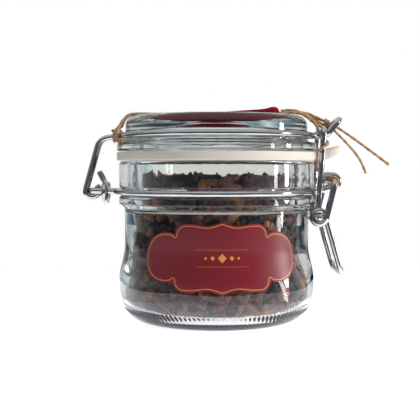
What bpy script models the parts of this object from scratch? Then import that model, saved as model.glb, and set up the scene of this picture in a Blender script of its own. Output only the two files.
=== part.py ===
"""A small clip-top glass jar of whole cloves, shut and tied with jute twine.

+Z is up, +X points at the clasp, -X at the hinge, and -Y at the side with the printed label.
The origin is the middle of the jar's underside. Sizes are in metres: MM turns millimetres into them.
"""

import math
import random

import bmesh
import bpy
import numpy as np
from mathutils import Matrix, Vector

MM = 0.001
GAP = 0.3  # clearance between touching pieces, in mm

# Jar glass, in mm: outer radii and heights
JAR_SEGMENTS = 32
FOOT_RADIUS = 29.0
BELLY_RADIUS = 39.5
BELLY_HEIGHT = 14.5
WAIST_RADIUS = 37.1
WAIST_BOTTOM, WAIST_TOP = 31.0, 42.8
BEAD_RADIUS = 39.2
BEAD_BOTTOM, BEAD_TOP = 46.0, 49.6
NECK_GROOVE_RADIUS = 37.2
RIM_RADIUS = 39.2
RIM_BOTTOM, RIM_TOP = 53.4, 63.6
WALL = 3.2
FLOOR = 3.6
FLOOR_RADIUS = 27.0
MOUTH_RADIUS = 30.5
MOUTH_BOTTOM = 46.4
SHOULDER_BOTTOM = 43.0

# Gasket
GASKET_INNER, GASKET_OUTER = 31.0, 40.0
GASKET_BOTTOM = RIM_TOP + GAP
GASKET_THICKNESS = 3.4
GASKET_TAB_END, GASKET_TAB_HALF_WIDTH, GASKET_TAB_RISE = 49.6, 4.6, 2.8

# Lid glass
LID_BOTTOM = GASKET_BOTTOM + GASKET_THICKNESS + GAP
LID_TOP = 81.8
FLANGE_RADIUS, FLANGE_TOP = 40.0, 70.9
LID_BODY_RADIUS = 36.5
LID_TOP_RADIUS = 32.2
LID_RECESS_RADIUS, LID_RECESS_TOP = 27.0, 76.6
PLUG_RADIUS, PLUG_BOTTOM = 29.8, 64.8

# Wires
WIRE_RADIUS = 1.1
ROUND, COARSE = 2, 1  # bevel resolutions, which give 8 and 6 sides
LID_RING_RADIUS, LID_RING_HEIGHT = 38.2, 73.9
NECK_RING_RADIUS, NECK_RING_HEIGHT = 38.8, 51.6
EYE_RADIUS = 2.6  # centreline radius of every curl and coil
HINGE_X, HINGE_Z = -50.1, 51.9
HINGE_LEG_Y = 1.4  # the lid wire's two legs run side by side
HINGE_LEAVE = 10  # degrees round the lid from -X at which each leg leaves the ring
CURL_END = 169  # degrees from +X at which the curl runs into the leg
LEG_CORNER_X, LEG_CORNER_Z = -47.0, 72.6
HINGE_LOOP_Y = 4.0  # the neck wire's loop passes outside them
PIVOT_X, PIVOT_Z = 45.9, 55.6
PIVOT_EYE_Y = 6.3
LEVER_UPPER_Y, LEVER_HANDLE_Y = 15.5, 12.9
COIL_X, COIL_Z = 39.9, 41.8
LINK_Y = 10.2
LINK_TOP_X, LINK_TOP_Z = 42.2, 76.5
HANDLE_END_X, HANDLE_END_Z = 49.0, 19.3
TAB_Y = 5.0
TAB_KNEE_X = 43.6
TAB_TIP_X, TAB_TIP_Z = 49.0, 80.3

# Twine
TWINE_RADIUS = 0.5
STRAND_Y = 0.75
WRAP_START_X, WRAP_TURNS, WRAP_PITCH = -41.9, 2.1, 1.3
PIN_WRAP_Y = 9.4  # where the third strand starts round the lever's pin

# Front label: half widths and half heights in the label's own plane, from its middle
LABEL_HALF_WIDTH, LABEL_NOTCH, LOBE_MIDDLE, LOBE_HEIGHT = 31.9, 18.3, 22.0, 9.3
LABEL_PEAK, LABEL_DIP, LABEL_SHOULDER, LABEL_CORNER = 13.4, 11.8, 12.5, 4.4
LABEL_MIDDLE_Z, LABEL_TURN = 28.1, 2.9
LABEL_THICKNESS = 0.35

# Lid label
LID_LABEL_LEFT, LID_LABEL_RIGHT, LID_LABEL_HALF_DEPTH, LID_LABEL_CORNER = -16.0, 24.5, 13.0, 4.0
LIFT_START_X, LIFT_START_Y = -3.0, 5.0
LID_LABEL_LIFT, LID_LABEL_CURL, LID_LABEL_HIGHEST = 2.4, 1.6, 2.6

# Cloves
CLOVE_LENGTH = 13.5
CLOVE_CLEARANCE = 0.5  # between the cloves and the inner wall
HEAP_EDGE, HEAP_CROWN = 53.0, 56.5  # height of the heap at the glass and in the middle
CORE_INSET = 2.4
WALL_ROWS, WALL_COLUMNS = 6, 12
CROWN_CLOVES = 22

STEEL = ("bright_steel", (0.62, 0.61, 0.60, 1.0), 0.25, 1.0)
GLASS = ("clear_glass", (0.88, 0.93, 0.92, 1.0), 0.05, 0.0)
RUBBER = ("white_rubber", (0.80, 0.78, 0.73, 1.0), 0.55, 0.0)
JUTE = ("jute", (0.50, 0.31, 0.17, 1.0), 0.9, 0.0)
PAPER = ("red_paper", (0.33, 0.02, 0.04, 1.0), 0.4, 0.0)
CLOVE = ("dried_clove", (0.10, 0.05, 0.035, 1.0), 0.8, 0.0)


def clear_scene():
    for obj in list(bpy.data.objects):
        bpy.data.objects.remove(obj, do_unlink=True)


def finish(obj, look, smooth_angle=35):
    """Gives an object its material and, if it is a mesh, smooth shading with sharp edges."""
    name, colour, roughness, metallic = look
    material = bpy.data.materials.get(name)
    if material is None:
        material = bpy.data.materials.new(name)
        material.use_nodes = True
        shader = material.node_tree.nodes["Principled BSDF"]
        shader.inputs["Base Color"].default_value = colour
        shader.inputs["Roughness"].default_value = roughness
        shader.inputs["Metallic"].default_value = metallic
    obj.data.materials.append(material)
    if obj.type == "MESH":
        obj.data.shade_smooth()
        obj.data.set_sharp_from_angle(angle=math.radians(smooth_angle))
    return obj


def mesh_object(name, bm):
    """Makes an object of a bmesh, with its faces turned outwards."""
    bmesh.ops.recalc_face_normals(bm, faces=bm.faces)
    mesh = bpy.data.meshes.new(name)
    bm.to_mesh(mesh)
    bm.free()
    obj = bpy.data.objects.new(name, mesh)
    bpy.context.scene.collection.objects.link(obj)
    return obj


def arc(centre, radius, start, end, steps):
    """Points (radius, height) of a round stretch, with angles in degrees from +X towards +Z."""
    angles = np.radians(np.linspace(start, end, steps + 1))
    return [(centre[0] + radius * math.cos(a), centre[1] + radius * math.sin(a)) for a in angles]


def turned(name, outline, look, closed=False):
    """Spins an outline of (radius, height) points in mm about the Z axis."""
    bm = bmesh.new()
    verts = [bm.verts.new((r * MM, 0, z * MM)) for r, z in outline]
    pairs = list(zip(verts, verts[1:] + verts[:1])) if closed else list(zip(verts, verts[1:]))
    edges = [bm.edges.new(pair) for pair in pairs]
    bmesh.ops.spin(
        bm, geom=verts + edges, axis=(0, 0, 1), cent=(0, 0, 0),
        steps=JAR_SEGMENTS, angle=2 * math.pi, use_merge=True,
    )
    bmesh.ops.remove_doubles(bm, verts=bm.verts, dist=1e-6)
    return finish(mesh_object(name, bm), look)


def blended(z, z0, z1, low, high):
    """A smooth change from low at z0 to high at z1."""
    t = min(max((z - z0) / (z1 - z0), 0.0), 1.0)
    return low + (high - low) * (0.5 - 0.5 * math.cos(math.pi * t))


def belly_outline():
    """The jar's outside from the foot to the waist: a round heel, then an easy curve inwards."""
    heel_width = BELLY_RADIUS - FOOT_RADIUS
    heel = [
        (FOOT_RADIUS + heel_width * math.sin(a), BELLY_HEIGHT * (1 - math.cos(a)))
        for a in np.radians(np.linspace(0, 90, 7))
    ]
    upper = [
        (blended(z, BELLY_HEIGHT, WAIST_BOTTOM, BELLY_RADIUS, WAIST_RADIUS), z)
        for z in np.linspace(BELLY_HEIGHT, WAIST_BOTTOM, 5)[1:]
    ]
    return heel + upper


def inner_outline():
    """The hollow of the jar, from the middle of its floor up to the mouth."""
    floor = [(0.0, FLOOR), (FLOOR_RADIUS, FLOOR)]
    heel_centre = BELLY_HEIGHT + 0.5
    heel = [
        (
            FLOOR_RADIUS + (BELLY_RADIUS - WALL - FLOOR_RADIUS) * math.sin(a),
            FLOOR + (heel_centre - FLOOR) * (1 - math.cos(a)),
        )
        for a in np.radians(np.linspace(0, 90, 5)[1:])
    ]
    wall = [
        (blended(z, BELLY_HEIGHT, WAIST_BOTTOM, BELLY_RADIUS, WAIST_RADIUS) - WALL, z)
        for z in np.linspace(heel_centre, WAIST_BOTTOM, 4)[1:]
    ]
    shoulder = [(WAIST_RADIUS - WALL, SHOULDER_BOTTOM), (MOUTH_RADIUS, MOUTH_BOTTOM)]
    return floor + heel + wall + shoulder + [(MOUTH_RADIUS, RIM_TOP)]


def make_jar():
    outside = [(0.0, 0.0)] + belly_outline()
    outside += [(WAIST_RADIUS, WAIST_TOP)]
    outside += arc((BEAD_RADIUS - 1.6, BEAD_BOTTOM - 0.2), 1.6, -60, 0, 2)
    outside += arc((BEAD_RADIUS - 1.6, BEAD_TOP - 1.6), 1.6, 0, 80, 2)
    outside += [(NECK_GROOVE_RADIUS, NECK_RING_HEIGHT - 1.2), (NECK_GROOVE_RADIUS, NECK_RING_HEIGHT + 1.0)]
    outside += [(RIM_RADIUS, RIM_BOTTOM)]
    outside += arc((RIM_RADIUS - 1.0, RIM_TOP - 1.0), 1.0, 0, 90, 2)
    inside = list(reversed(inner_outline()))
    return turned("jar_glass", outside + inside, GLASS)


def make_lid():
    shoulder = LID_BODY_RADIUS - LID_TOP_RADIUS
    outline = [(0.0, LID_TOP), (LID_TOP_RADIUS, LID_TOP)]
    outline += arc((LID_TOP_RADIUS, LID_TOP - shoulder), shoulder, 90, 0, 4)[1:]
    outline += [(LID_BODY_RADIUS, FLANGE_TOP + 1.0), (FLANGE_RADIUS - 1.2, FLANGE_TOP)]
    outline += [(FLANGE_RADIUS, FLANGE_TOP - 1.2), (FLANGE_RADIUS, LID_BOTTOM)]
    outline += [(PLUG_RADIUS, LID_BOTTOM), (PLUG_RADIUS, PLUG_BOTTOM)]
    outline += [(LID_RECESS_RADIUS, PLUG_BOTTOM), (LID_RECESS_RADIUS, LID_RECESS_TOP - 2.5)]
    outline += arc((LID_RECESS_RADIUS - 2.5, LID_RECESS_TOP - 2.5), 2.5, 0, 90, 2)[1:]
    outline += [(0.0, LID_RECESS_TOP)]
    return turned("lid_glass", outline, GLASS)


def make_gasket():
    """A flat ring, and a pull tab fused to it that stands out at the clasp."""
    top = GASKET_BOTTOM + GASKET_THICKNESS
    outline = [(GASKET_INNER, GASKET_BOTTOM), (GASKET_OUTER - 0.5, GASKET_BOTTOM)]
    outline += [(GASKET_OUTER, GASKET_BOTTOM + 0.5), (GASKET_OUTER, top - 0.5)]
    outline += [(GASKET_OUTER - 0.5, top), (GASKET_INNER, top)]
    ring = turned("gasket", outline, RUBBER, closed=True)

    bm = bmesh.new()
    bmesh.ops.create_cube(bm, size=1)
    start = GASKET_OUTER - 0.5
    for vert in bm.verts:
        far = vert.co.x > 0
        narrow = 0.82 if far else 1.0
        lift = GASKET_TAB_RISE if far else 0.0
        middle = GASKET_BOTTOM + GASKET_THICKNESS / 2 + lift
        vert.co.x = (GASKET_TAB_END if far else start) * MM
        vert.co.y *= 2 * GASKET_TAB_HALF_WIDTH * narrow * MM
        vert.co.z = (middle + vert.co.z * (GASKET_THICKNESS - 0.3)) * MM
    outer_edges = [e for e in bm.edges if all(v.co.x > GASKET_TAB_END * MM * 0.999 for v in e.verts)]
    bmesh.ops.bevel(bm, geom=outer_edges, offset=0.6 * MM, segments=2, affect="EDGES", profile=0.5)
    tab = mesh_object("gasket_tab", bm)
    fuse(ring, [tab], "EXACT")
    return ring


def fuse(base, others, solver):
    """Joins the other objects to base with one Boolean union on a collection, then removes them."""
    collection = bpy.data.collections.new(base.name + "_pieces")
    bpy.context.scene.collection.children.link(collection)
    for other in others:
        bpy.context.scene.collection.objects.unlink(other)
        collection.objects.link(other)
    union = base.modifiers.new("join", "BOOLEAN")
    union.operation = "UNION"
    union.operand_type = "COLLECTION"
    union.collection = collection
    union.solver = solver
    graph = bpy.context.evaluated_depsgraph_get()
    joined = bpy.data.meshes.new_from_object(base.evaluated_get(graph))
    base.modifiers.clear()
    base.data = joined
    for other in others:
        bpy.data.objects.remove(other, do_unlink=True)
    bpy.data.collections.remove(collection)


def wire(name, points, look, radius, resolution=COARSE):
    """A round wire or string along points in mm, as a curve with a bevel and filled caps."""
    curve = bpy.data.curves.new(name, "CURVE")
    curve.dimensions = "3D"
    curve.bevel_depth = radius * MM
    curve.bevel_resolution = resolution
    curve.use_fill_caps = True
    spline = curve.splines.new("POLY")
    spline.points.add(len(points) - 1)
    for point, place in zip(spline.points, points):
        point.co = (*(Vector(place) * MM), 1.0)
    obj = bpy.data.objects.new(name, curve)
    bpy.context.scene.collection.objects.link(obj)
    return finish(obj, look)


def bent(corners, step=22):
    """Points along a wire bent at its corners. Each corner is (point, bend radius); 0 keeps the point."""
    points = []
    for index, (corner, radius) in enumerate(corners):
        here = Vector(corner)
        if radius == 0 or index in (0, len(corners) - 1):
            points.append(here)
            continue
        back = (Vector(corners[index - 1][0]) - here).normalized()
        ahead = (Vector(corners[index + 1][0]) - here).normalized()
        between = back.angle(ahead)
        turn = math.pi - between
        reach = radius / math.tan(between / 2)
        centre = here + (back + ahead).normalized() * (radius / math.sin(between / 2))
        axis = back.cross(ahead).normalized()
        spoke = here + back * reach - centre
        count = max(2, round(math.degrees(turn) / step))
        for i in range(count + 1):
            points.append(centre + Matrix.Rotation(-turn * i / count, 3, axis) @ spoke)
    return points


def curl(centre_x, centre_z, radius, start, end, y_start, y_end, step=24):
    """Points of a curl in an upright plane along X, from one angle to another, drifting along Y."""
    count = max(3, round(abs(end - start) / step))
    points = []
    for i in range(count + 1):
        share = i / count
        angle = math.radians(start + (end - start) * share)
        points.append(Vector((
            centre_x + radius * math.cos(angle),
            y_start + (y_end - y_start) * share,
            centre_z + radius * math.sin(angle),
        )))
    return points


def ring_stretch(radius, height, start, end, step=12):
    """Points of a level ring round the jar, with angles in degrees from +X towards +Y."""
    count = round(abs(end - start) / step)
    angles = np.radians(np.linspace(start, end, count + 1))
    return [Vector((radius * math.cos(a), radius * math.sin(a), height)) for a in angles]


def leaving_corner(radius, leave, y_line, side):
    """Where a wire that leaves a ring along its tangent meets the line at y = -y_line. side is +1 at +X."""
    angle = math.radians(leave)
    along = (radius * math.sin(angle) - y_line) / math.cos(angle)
    return side * (radius * math.cos(angle) + math.sin(angle) * along)


def mirrored(half):
    """A half path at -Y, and then the same path back at +Y."""
    other = [Vector((p[0], -p[1], p[2])) for p in reversed(half)]
    return list(half) + other


def lid_wire_leg():
    """The near leg of the lid wire: its hinge curl, the rise, and the bend to the start of the ring."""
    hook = curl(HINGE_X, HINGE_Z, EYE_RADIUS, 50, CURL_END - 360, -HINGE_LEG_Y, -HINGE_LEG_Y)
    off_ring_x = leaving_corner(LID_RING_RADIUS, HINGE_LEAVE, HINGE_LEG_Y, -1)
    ring_start = ring_stretch(LID_RING_RADIUS, LID_RING_HEIGHT, 180 + HINGE_LEAVE, 190 + HINGE_LEAVE)[0]
    rise = bent([
        (hook[-1], 0),
        ((LEG_CORNER_X, -HINGE_LEG_Y, LEG_CORNER_Z), 5.0),
        ((off_ring_x, -HINGE_LEG_Y, LID_RING_HEIGHT), 1.6),
        (ring_start, 0),
    ])
    return hook[:-1] + rise


def make_lid_wire():
    """One wire: a hinge curl, its leg, round the lid, the lifting tab, and back the same way."""
    leave_tab = 18
    ring = ring_stretch(LID_RING_RADIUS, LID_RING_HEIGHT, 180 + HINGE_LEAVE, 360 - leave_tab)
    off_tab_x = leaving_corner(LID_RING_RADIUS, leave_tab, TAB_Y, 1)
    tab = bent([
        (ring[-1], 0),
        ((off_tab_x, -TAB_Y, LID_RING_HEIGHT), 2.4),
        ((TAB_KNEE_X, -TAB_Y, LID_RING_HEIGHT), 3.0),
        ((TAB_TIP_X, -TAB_Y, TAB_TIP_Z), 2.6),
        ((TAB_TIP_X, 0, TAB_TIP_Z), 0),
    ])
    half = lid_wire_leg()[:-1] + ring[:-1] + tab[:-1]
    return wire("lid_wire", mirrored(half), STEEL, WIRE_RADIUS)


def make_neck_wire():
    """One wire: an eye for the lever, round the neck, the hinge loop, and back to the other eye."""
    leave_eye, leave_hinge = 20, 20
    eye = curl(PIVOT_X, PIVOT_Z, EYE_RADIUS, 190, -90, -PIVOT_EYE_Y, -PIVOT_EYE_Y)
    off_ring_x = leaving_corner(NECK_RING_RADIUS, leave_eye, PIVOT_EYE_Y, 1)
    ring = ring_stretch(NECK_RING_RADIUS, NECK_RING_HEIGHT, -leave_eye, leave_hinge - 180)
    lead = bent([
        (eye[-1], 0),
        ((off_ring_x + 3.0, -PIVOT_EYE_Y, NECK_RING_HEIGHT + 0.5), 3.0),
        ((off_ring_x, -PIVOT_EYE_Y, NECK_RING_HEIGHT), 2.2),
        (ring[0], 0),
    ])
    loop_x = leaving_corner(NECK_RING_RADIUS, leave_hinge, HINGE_LOOP_Y, -1)
    loop = bent([
        (ring[-1], 0),
        ((loop_x, -HINGE_LOOP_Y, NECK_RING_HEIGHT), 2.6),
        ((HINGE_X, -HINGE_LOOP_Y, HINGE_Z), 1.6),
        ((HINGE_X, 0, HINGE_Z), 0),
    ])
    half = eye[:-1] + lead[:-1] + ring[:-1] + loop[:-1]
    return wire("neck_wire", mirrored(half), STEEL, WIRE_RADIUS)


def make_hinge_stop():
    """A short wire closed round the neck wire's loop, whose end stands up as the lid's stop."""
    middle_x, middle_z = -44.6, HINGE_Z - 0.5
    half_width, half_height = HINGE_LOOP_Y + 2 * WIRE_RADIUS + 0.9, 3.8
    stub_top = Vector((-47.4, 0.0, 59.6))
    turn = [
        Vector((middle_x, -half_width * math.sin(a), middle_z + half_height * math.cos(a)))
        for a in np.radians(np.linspace(25, 325, 18))
    ]
    stub = bent([(stub_top, 0), ((middle_x - 0.6, 0.0, middle_z + half_height + 0.4), 1.8), (turn[0], 0)])
    return wire("hinge_stop", stub[:-1] + turn, STEEL, WIRE_RADIUS)


def make_link():
    """The closing link: a bar over the lid's tab, two legs, and ends through the lever's coils."""
    half = bent([
        ((COIL_X, -LEVER_UPPER_Y - 2.2, COIL_Z), 0),
        ((COIL_X, -LINK_Y, COIL_Z), 1.8),
        ((LINK_TOP_X, -LINK_Y, LINK_TOP_Z), 2.4),
        ((LINK_TOP_X, 0, LINK_TOP_Z), 0),
    ])
    return wire("clasp_link", mirrored(half[:-1]), STEEL, WIRE_RADIUS)


def make_lever():
    """The lever: a pin in each neck eye, a leg, one coil round the link's end, and the handle."""
    pivot = Vector((PIVOT_X, 0, PIVOT_Z))
    coil = Vector((COIL_X, 0, COIL_Z))
    handle = Vector((HANDLE_END_X, 0, HANDLE_END_Z))
    into = math.degrees(math.asin((coil.x - pivot.x + EYE_RADIUS) / (pivot - coil).length))
    out_of = math.degrees(math.asin((handle.x - coil.x - EYE_RADIUS) / (handle - coil).length))
    turns = curl(COIL_X, COIL_Z, EYE_RADIUS, into, out_of - 360, -LEVER_UPPER_Y, -LEVER_HANDLE_Y)
    upper = bent([
        ((PIVOT_X, -PIVOT_EYE_Y + 2.2, PIVOT_Z), 0),
        ((PIVOT_X, -LEVER_UPPER_Y, PIVOT_Z), 1.8),
        (turns[0], 0),
    ])
    lower = bent([
        (turns[-1], 0),
        ((HANDLE_END_X, -LEVER_HANDLE_Y, HANDLE_END_Z), 3.2),
        ((HANDLE_END_X, 0, HANDLE_END_Z), 0),
    ])
    half = upper[:-1] + turns + lower[1:-1]
    return wire("clasp_lever", mirrored(half), STEEL, WIRE_RADIUS)


def smooth_route(route, steps):
    """Points on a smooth Catmull-Rom curve through a route's own points."""
    knots = [Vector(p) for p in route]
    knots = [2 * knots[0] - knots[1]] + knots + [2 * knots[-1] - knots[-2]]
    points = []
    for a, b, c, d in zip(knots, knots[1:], knots[2:], knots[3:]):
        for i in range(steps):
            t = i / steps
            cubic = 3 * b - a - 3 * c + d
            points.append(0.5 * (2 * b + (c - a) * t + (2 * a - 5 * b + 4 * c - d) * t**2 + cubic * t**3))
    return points + [knots[-2]]


def evenly(points, spacing):
    """The same curve with its points evenly spaced."""
    lengths = np.cumsum([0.0] + [(b - a).length for a, b in zip(points, points[1:])])
    stops = np.linspace(0, lengths[-1], round(lengths[-1] / spacing) + 1)
    axes = [np.interp(stops, lengths, [p[axis] for p in points]) for axis in range(3)]
    return [Vector(place) for place in zip(*axes)]


def strand_over_lid(y):
    """A strand's route from the hinge wire up and over the lid to just before the clasp."""
    return [
        (-38.1, y, 77.3), (-37.8, y, 78.5), (-36.9, y, 80.4), (-34.8, y, 82.4), (-31.5, y, 83.1),
        (-22.0, y, 83.45), (-8.0, y * 1.1, 83.45), (6.0, y * 1.2, 83.45), (20.0, y * 1.1, 83.45),
        (30.0, y, 83.5), (35.0, y, 83.2), (39.0, y, 81.9), (43.0, y, 80.0),
    ]


LONG_TAIL = [(46.2, -0.9, 78.4), (49.2, -1.0, 76.8), (54.8, -2.0, 72.9), (61.4, -3.5, 67.9), (68.6, -5.0, 62.3)]
SHORT_TAIL = [(45.9, 0.9, 77.9), (48.2, 1.4, 75.6), (52.6, 2.4, 71.3), (57.0, 3.4, 66.5), (59.4, 4.2, 62.8), (61.2, 5.0, 58.8)]


def make_strands():
    """The two free strands, tied off at the hinge and hanging down past the clasp."""
    for name, y, tail in (("twine_long", -STRAND_Y, LONG_TAIL), ("twine_short", STRAND_Y, SHORT_TAIL)):
        points = evenly(smooth_route(strand_over_lid(y) + tail, 8), 6 * TWINE_RADIUS)
        wire(name, points, JUTE, TWINE_RADIUS, ROUND)


def make_hinge_wrap():
    """Turns of twine round the lid wire's two legs, wider where the legs part."""
    ring = ring_stretch(LID_RING_RADIUS, LID_RING_HEIGHT, 180 + HINGE_LEAVE, 225)
    leg = [p for p in evenly(lid_wire_leg() + ring[1:], 0.4) if p.z > LID_RING_HEIGHT - 2]
    reach = WIRE_RADIUS + TWINE_RADIUS + 0.65
    steps_each = 14
    points = []
    for i in range(round(WRAP_TURNS * steps_each) + 1):
        turn = i / steps_each
        angle = 2 * math.pi * turn
        x = WRAP_START_X + WRAP_PITCH * turn
        half_width = max(math.sqrt(reach**2 - (p.x - x) ** 2) - p.y for p in leg if abs(p.x - x) < reach)
        half_height = WIRE_RADIUS + TWINE_RADIUS + 0.65
        y = half_width * math.copysign(math.sqrt(abs(math.sin(angle))), math.sin(angle))
        z = half_height * math.copysign(math.sqrt(abs(math.cos(angle))), math.cos(angle))
        points.append((x, y, LID_RING_HEIGHT + z))
    wire("twine_hinge_wrap", points, JUTE, TWINE_RADIUS)


def make_clasp_strand():
    """A third strand: along the lid, down inside the clasp link, round its near leg and over the lever's pin."""
    route = [
        (10.0, -2.3, 83.45), (20.0, -2.3, 83.45), (30.0, -2.3, 83.5), (33.6, -2.7, 83.0), (36.6, -4.0, 81.4),
        (38.7, -5.6, 79.1), (39.8, -7.2, 76.8), (40.6, -8.0, 74.4),
    ]
    windings = [(90, 72.4), (0, 70.7), (-90, 69.2), (-178, 67.2), (-188, 61.2), (-270, 59.2), (-350, 57.9)]
    reach = WIRE_RADIUS + TWINE_RADIUS + 0.35
    lean = (LINK_TOP_X - COIL_X) / (LINK_TOP_Z - COIL_Z)
    around = []
    for (a0, z0), (a1, z1) in zip(windings, windings[1:]):
        count = max(3, round(abs(a1 - a0) / 30))
        for i in range(count):
            angle = math.radians(a0 + (a1 - a0) * i / count)
            z = z0 + (z1 - z0) * i / count
            leg_x = COIL_X + lean * (z - COIL_Z)
            around.append((leg_x + reach * math.cos(angle), -LINK_Y + reach * math.sin(angle), z))
    lead = evenly(smooth_route(route, 8), 4.4 * TWINE_RADIUS)
    over_pin = []
    for degrees in range(80, -200, -30):
        angle = math.radians(degrees)
        over_pin.append((
            PIVOT_X + reach * math.cos(angle), -PIN_WRAP_Y - 1.4 * (80 - degrees) / 360, PIVOT_Z + reach * math.sin(angle),
        ))
    wire("twine_clasp", lead + around + over_pin, JUTE, TWINE_RADIUS)


def make_twine():
    make_strands()
    make_hinge_wrap()
    make_clasp_strand()


def plaque_height(u):
    """Half the label's height at u mm from its middle: a peak, a shoulder, then a round lobe."""
    u = abs(u)
    if u >= LABEL_NOTCH:
        share = (u - LOBE_MIDDLE) / (LABEL_HALF_WIDTH - LOBE_MIDDLE)
        return LOBE_HEIGHT * math.sqrt(max(0.0, 1 - share * share))
    peak = (LABEL_PEAK - LABEL_DIP) * (1 - math.sin(min(u / 6.5, 1) * math.pi / 2))
    rise = blended(u, 5.0, 12.0, 0.0, LABEL_SHOULDER - LABEL_DIP)
    past_corner = max(0.0, u - LABEL_NOTCH + LABEL_CORNER)
    corner = LABEL_CORNER - math.sqrt(max(0.0, LABEL_CORNER**2 - past_corner**2))
    return LABEL_DIP + peak + rise - corner


def thin_sheet(name, columns, rows, place, look):
    """A closed thin sheet. place(column, row, side) gives a point in mm, with side 0 below and 1 above."""
    bm = bmesh.new()
    below, above = (
        [[bm.verts.new(Vector(place(c, r, side)) * MM) for r in rows] for c in columns] for side in (0, 1)
    )
    nu, nv = len(columns), len(rows)
    for i in range(nu - 1):
        for j in range(nv - 1):
            bm.faces.new((above[i][j], above[i + 1][j], above[i + 1][j + 1], above[i][j + 1]))
            bm.faces.new((below[i][j], below[i][j + 1], below[i + 1][j + 1], below[i + 1][j]))
        for j in (0, nv - 1):
            bm.faces.new((below[i][j], below[i + 1][j], above[i + 1][j], above[i][j]))
    for i in (0, nu - 1):
        for j in range(nv - 1):
            bm.faces.new((below[i][j], below[i][j + 1], above[i][j + 1], above[i][j]))
    return finish(mesh_object(name, bm), look)


def outer_radius(z):
    """The jar's outer radius between its heel and its waist."""
    if z < BELLY_HEIGHT:
        return FOOT_RADIUS + (BELLY_RADIUS - FOOT_RADIUS) * math.sqrt(1 - (1 - z / BELLY_HEIGHT) ** 2)
    return blended(z, BELLY_HEIGHT, WAIST_BOTTOM, BELLY_RADIUS, WAIST_RADIUS)


def make_front_label():
    """A thin printed label that follows the curve of the jar's belly."""
    notch = LABEL_NOTCH
    columns = [-31.8, -31.0, -28.5, -25.0, -21.5, -notch - 0.02, -notch + 0.02, -16.5, -13.0, -8.0, -4.0, -1.5]
    columns += [0.0] + [-u for u in reversed(columns)]

    def place(u, row, side):
        angle = math.radians(LABEL_TURN) + u / (WAIST_RADIUS + 1.0)
        z = LABEL_MIDDLE_Z + row * max(plaque_height(u), 0.8)
        r = outer_radius(z) + GAP + 0.1 + side * LABEL_THICKNESS
        return (r * math.sin(angle), -r * math.cos(angle), z)

    return thin_sheet("front_label", columns, np.linspace(-1, 1, 4), place, PAPER)


def make_lid_label():
    """A paper label lying on the lid, its near edge lifting to the right up to a curled corner."""
    corner = LID_LABEL_CORNER
    columns = [LID_LABEL_LEFT, LID_LABEL_LEFT + 1.2, LID_LABEL_LEFT + corner, -4.0, 6.0, 14.0]
    columns += [LID_LABEL_RIGHT - corner, LID_LABEL_RIGHT - 1.2, LID_LABEL_RIGHT]

    def place(x, row, side):
        into_corner = max(0.0, LID_LABEL_LEFT + corner - x, x - LID_LABEL_RIGHT + corner)
        round_off = corner - math.sqrt(max(0.0, corner**2 - into_corner**2))
        y = row * (LID_LABEL_HALF_DEPTH - round_off)
        near = max(0.0, (-y - LIFT_START_Y) / (LID_LABEL_HALF_DEPTH - LIFT_START_Y)) ** 2
        along = min(1.0, max(0.0, (x - LIFT_START_X) / (LID_LABEL_RIGHT - LIFT_START_X)))
        corner_curl = max(0.0, (x - 0.8 * y - 27.0) / 7.0) ** 2
        lifted = min(LID_LABEL_HIGHEST, near * along * LID_LABEL_LIFT + corner_curl * LID_LABEL_CURL)
        return (x, y, LID_TOP + GAP + side * LABEL_THICKNESS + lifted)

    return thin_sheet("lid_label", columns, np.linspace(-1, 1, 7), place, PAPER)


def inner_radius(z):
    """The hollow's radius at a height, read off its outline."""
    outline = inner_outline()[1:]
    for (r0, z0), (r1, z1) in zip(outline, outline[1:]):
        if z0 <= z <= z1 and z1 > z0:
            return r0 + (r1 - r0) * (z - z0) / (z1 - z0)
    return outline[0][0] if z < FLOOR else MOUTH_RADIUS


def clear_radius(z):
    """How far out a clove may reach at a height: inside the flats of the hollow's facets."""
    nearest = min(inner_radius(z + dz) for dz in (-0.6, 0.0, 0.6))
    return nearest * math.cos(math.pi / JAR_SEGMENTS) - CLOVE_CLEARANCE


def heap_height(r):
    """The height of the heap's top at a radius."""
    return HEAP_CROWN - (HEAP_CROWN - HEAP_EDGE) * (r / MOUTH_RADIUS) ** 2


def clove_mesh(rng):
    """One whole clove along +Z from its tail: a four-sided stem, the spread sepals and the round bud."""
    scale = rng.uniform(0.86, 1.1)
    length = CLOVE_LENGTH * scale
    rings = [(0.0, 0.75), (0.66 * length, 1.4), (0.77 * length, 2.55), (0.86 * length, 1.75)]
    bm = bmesh.new()
    loops = []
    for height, radius in rings:
        loops.append([
            bm.verts.new((radius * scale * math.cos(a), radius * scale * math.sin(a), height - length / 2))
            for a in (math.pi / 2 * k for k in range(4))
        ])
    for low, high in zip(loops, loops[1:]):
        for k in range(4):
            bm.faces.new((low[k], low[(k + 1) % 4], high[(k + 1) % 4], high[k]))
    bm.faces.new(reversed(loops[0]))
    tip = bm.verts.new((0, 0, length / 2))
    for k in range(4):
        bm.faces.new((loops[-1][k], loops[-1][(k + 1) % 4], tip))
    bend = rng.uniform(-0.012, 0.012)
    for vert in bm.verts:
        vert.co.x += bend * vert.co.z**2
    return bm


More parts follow.
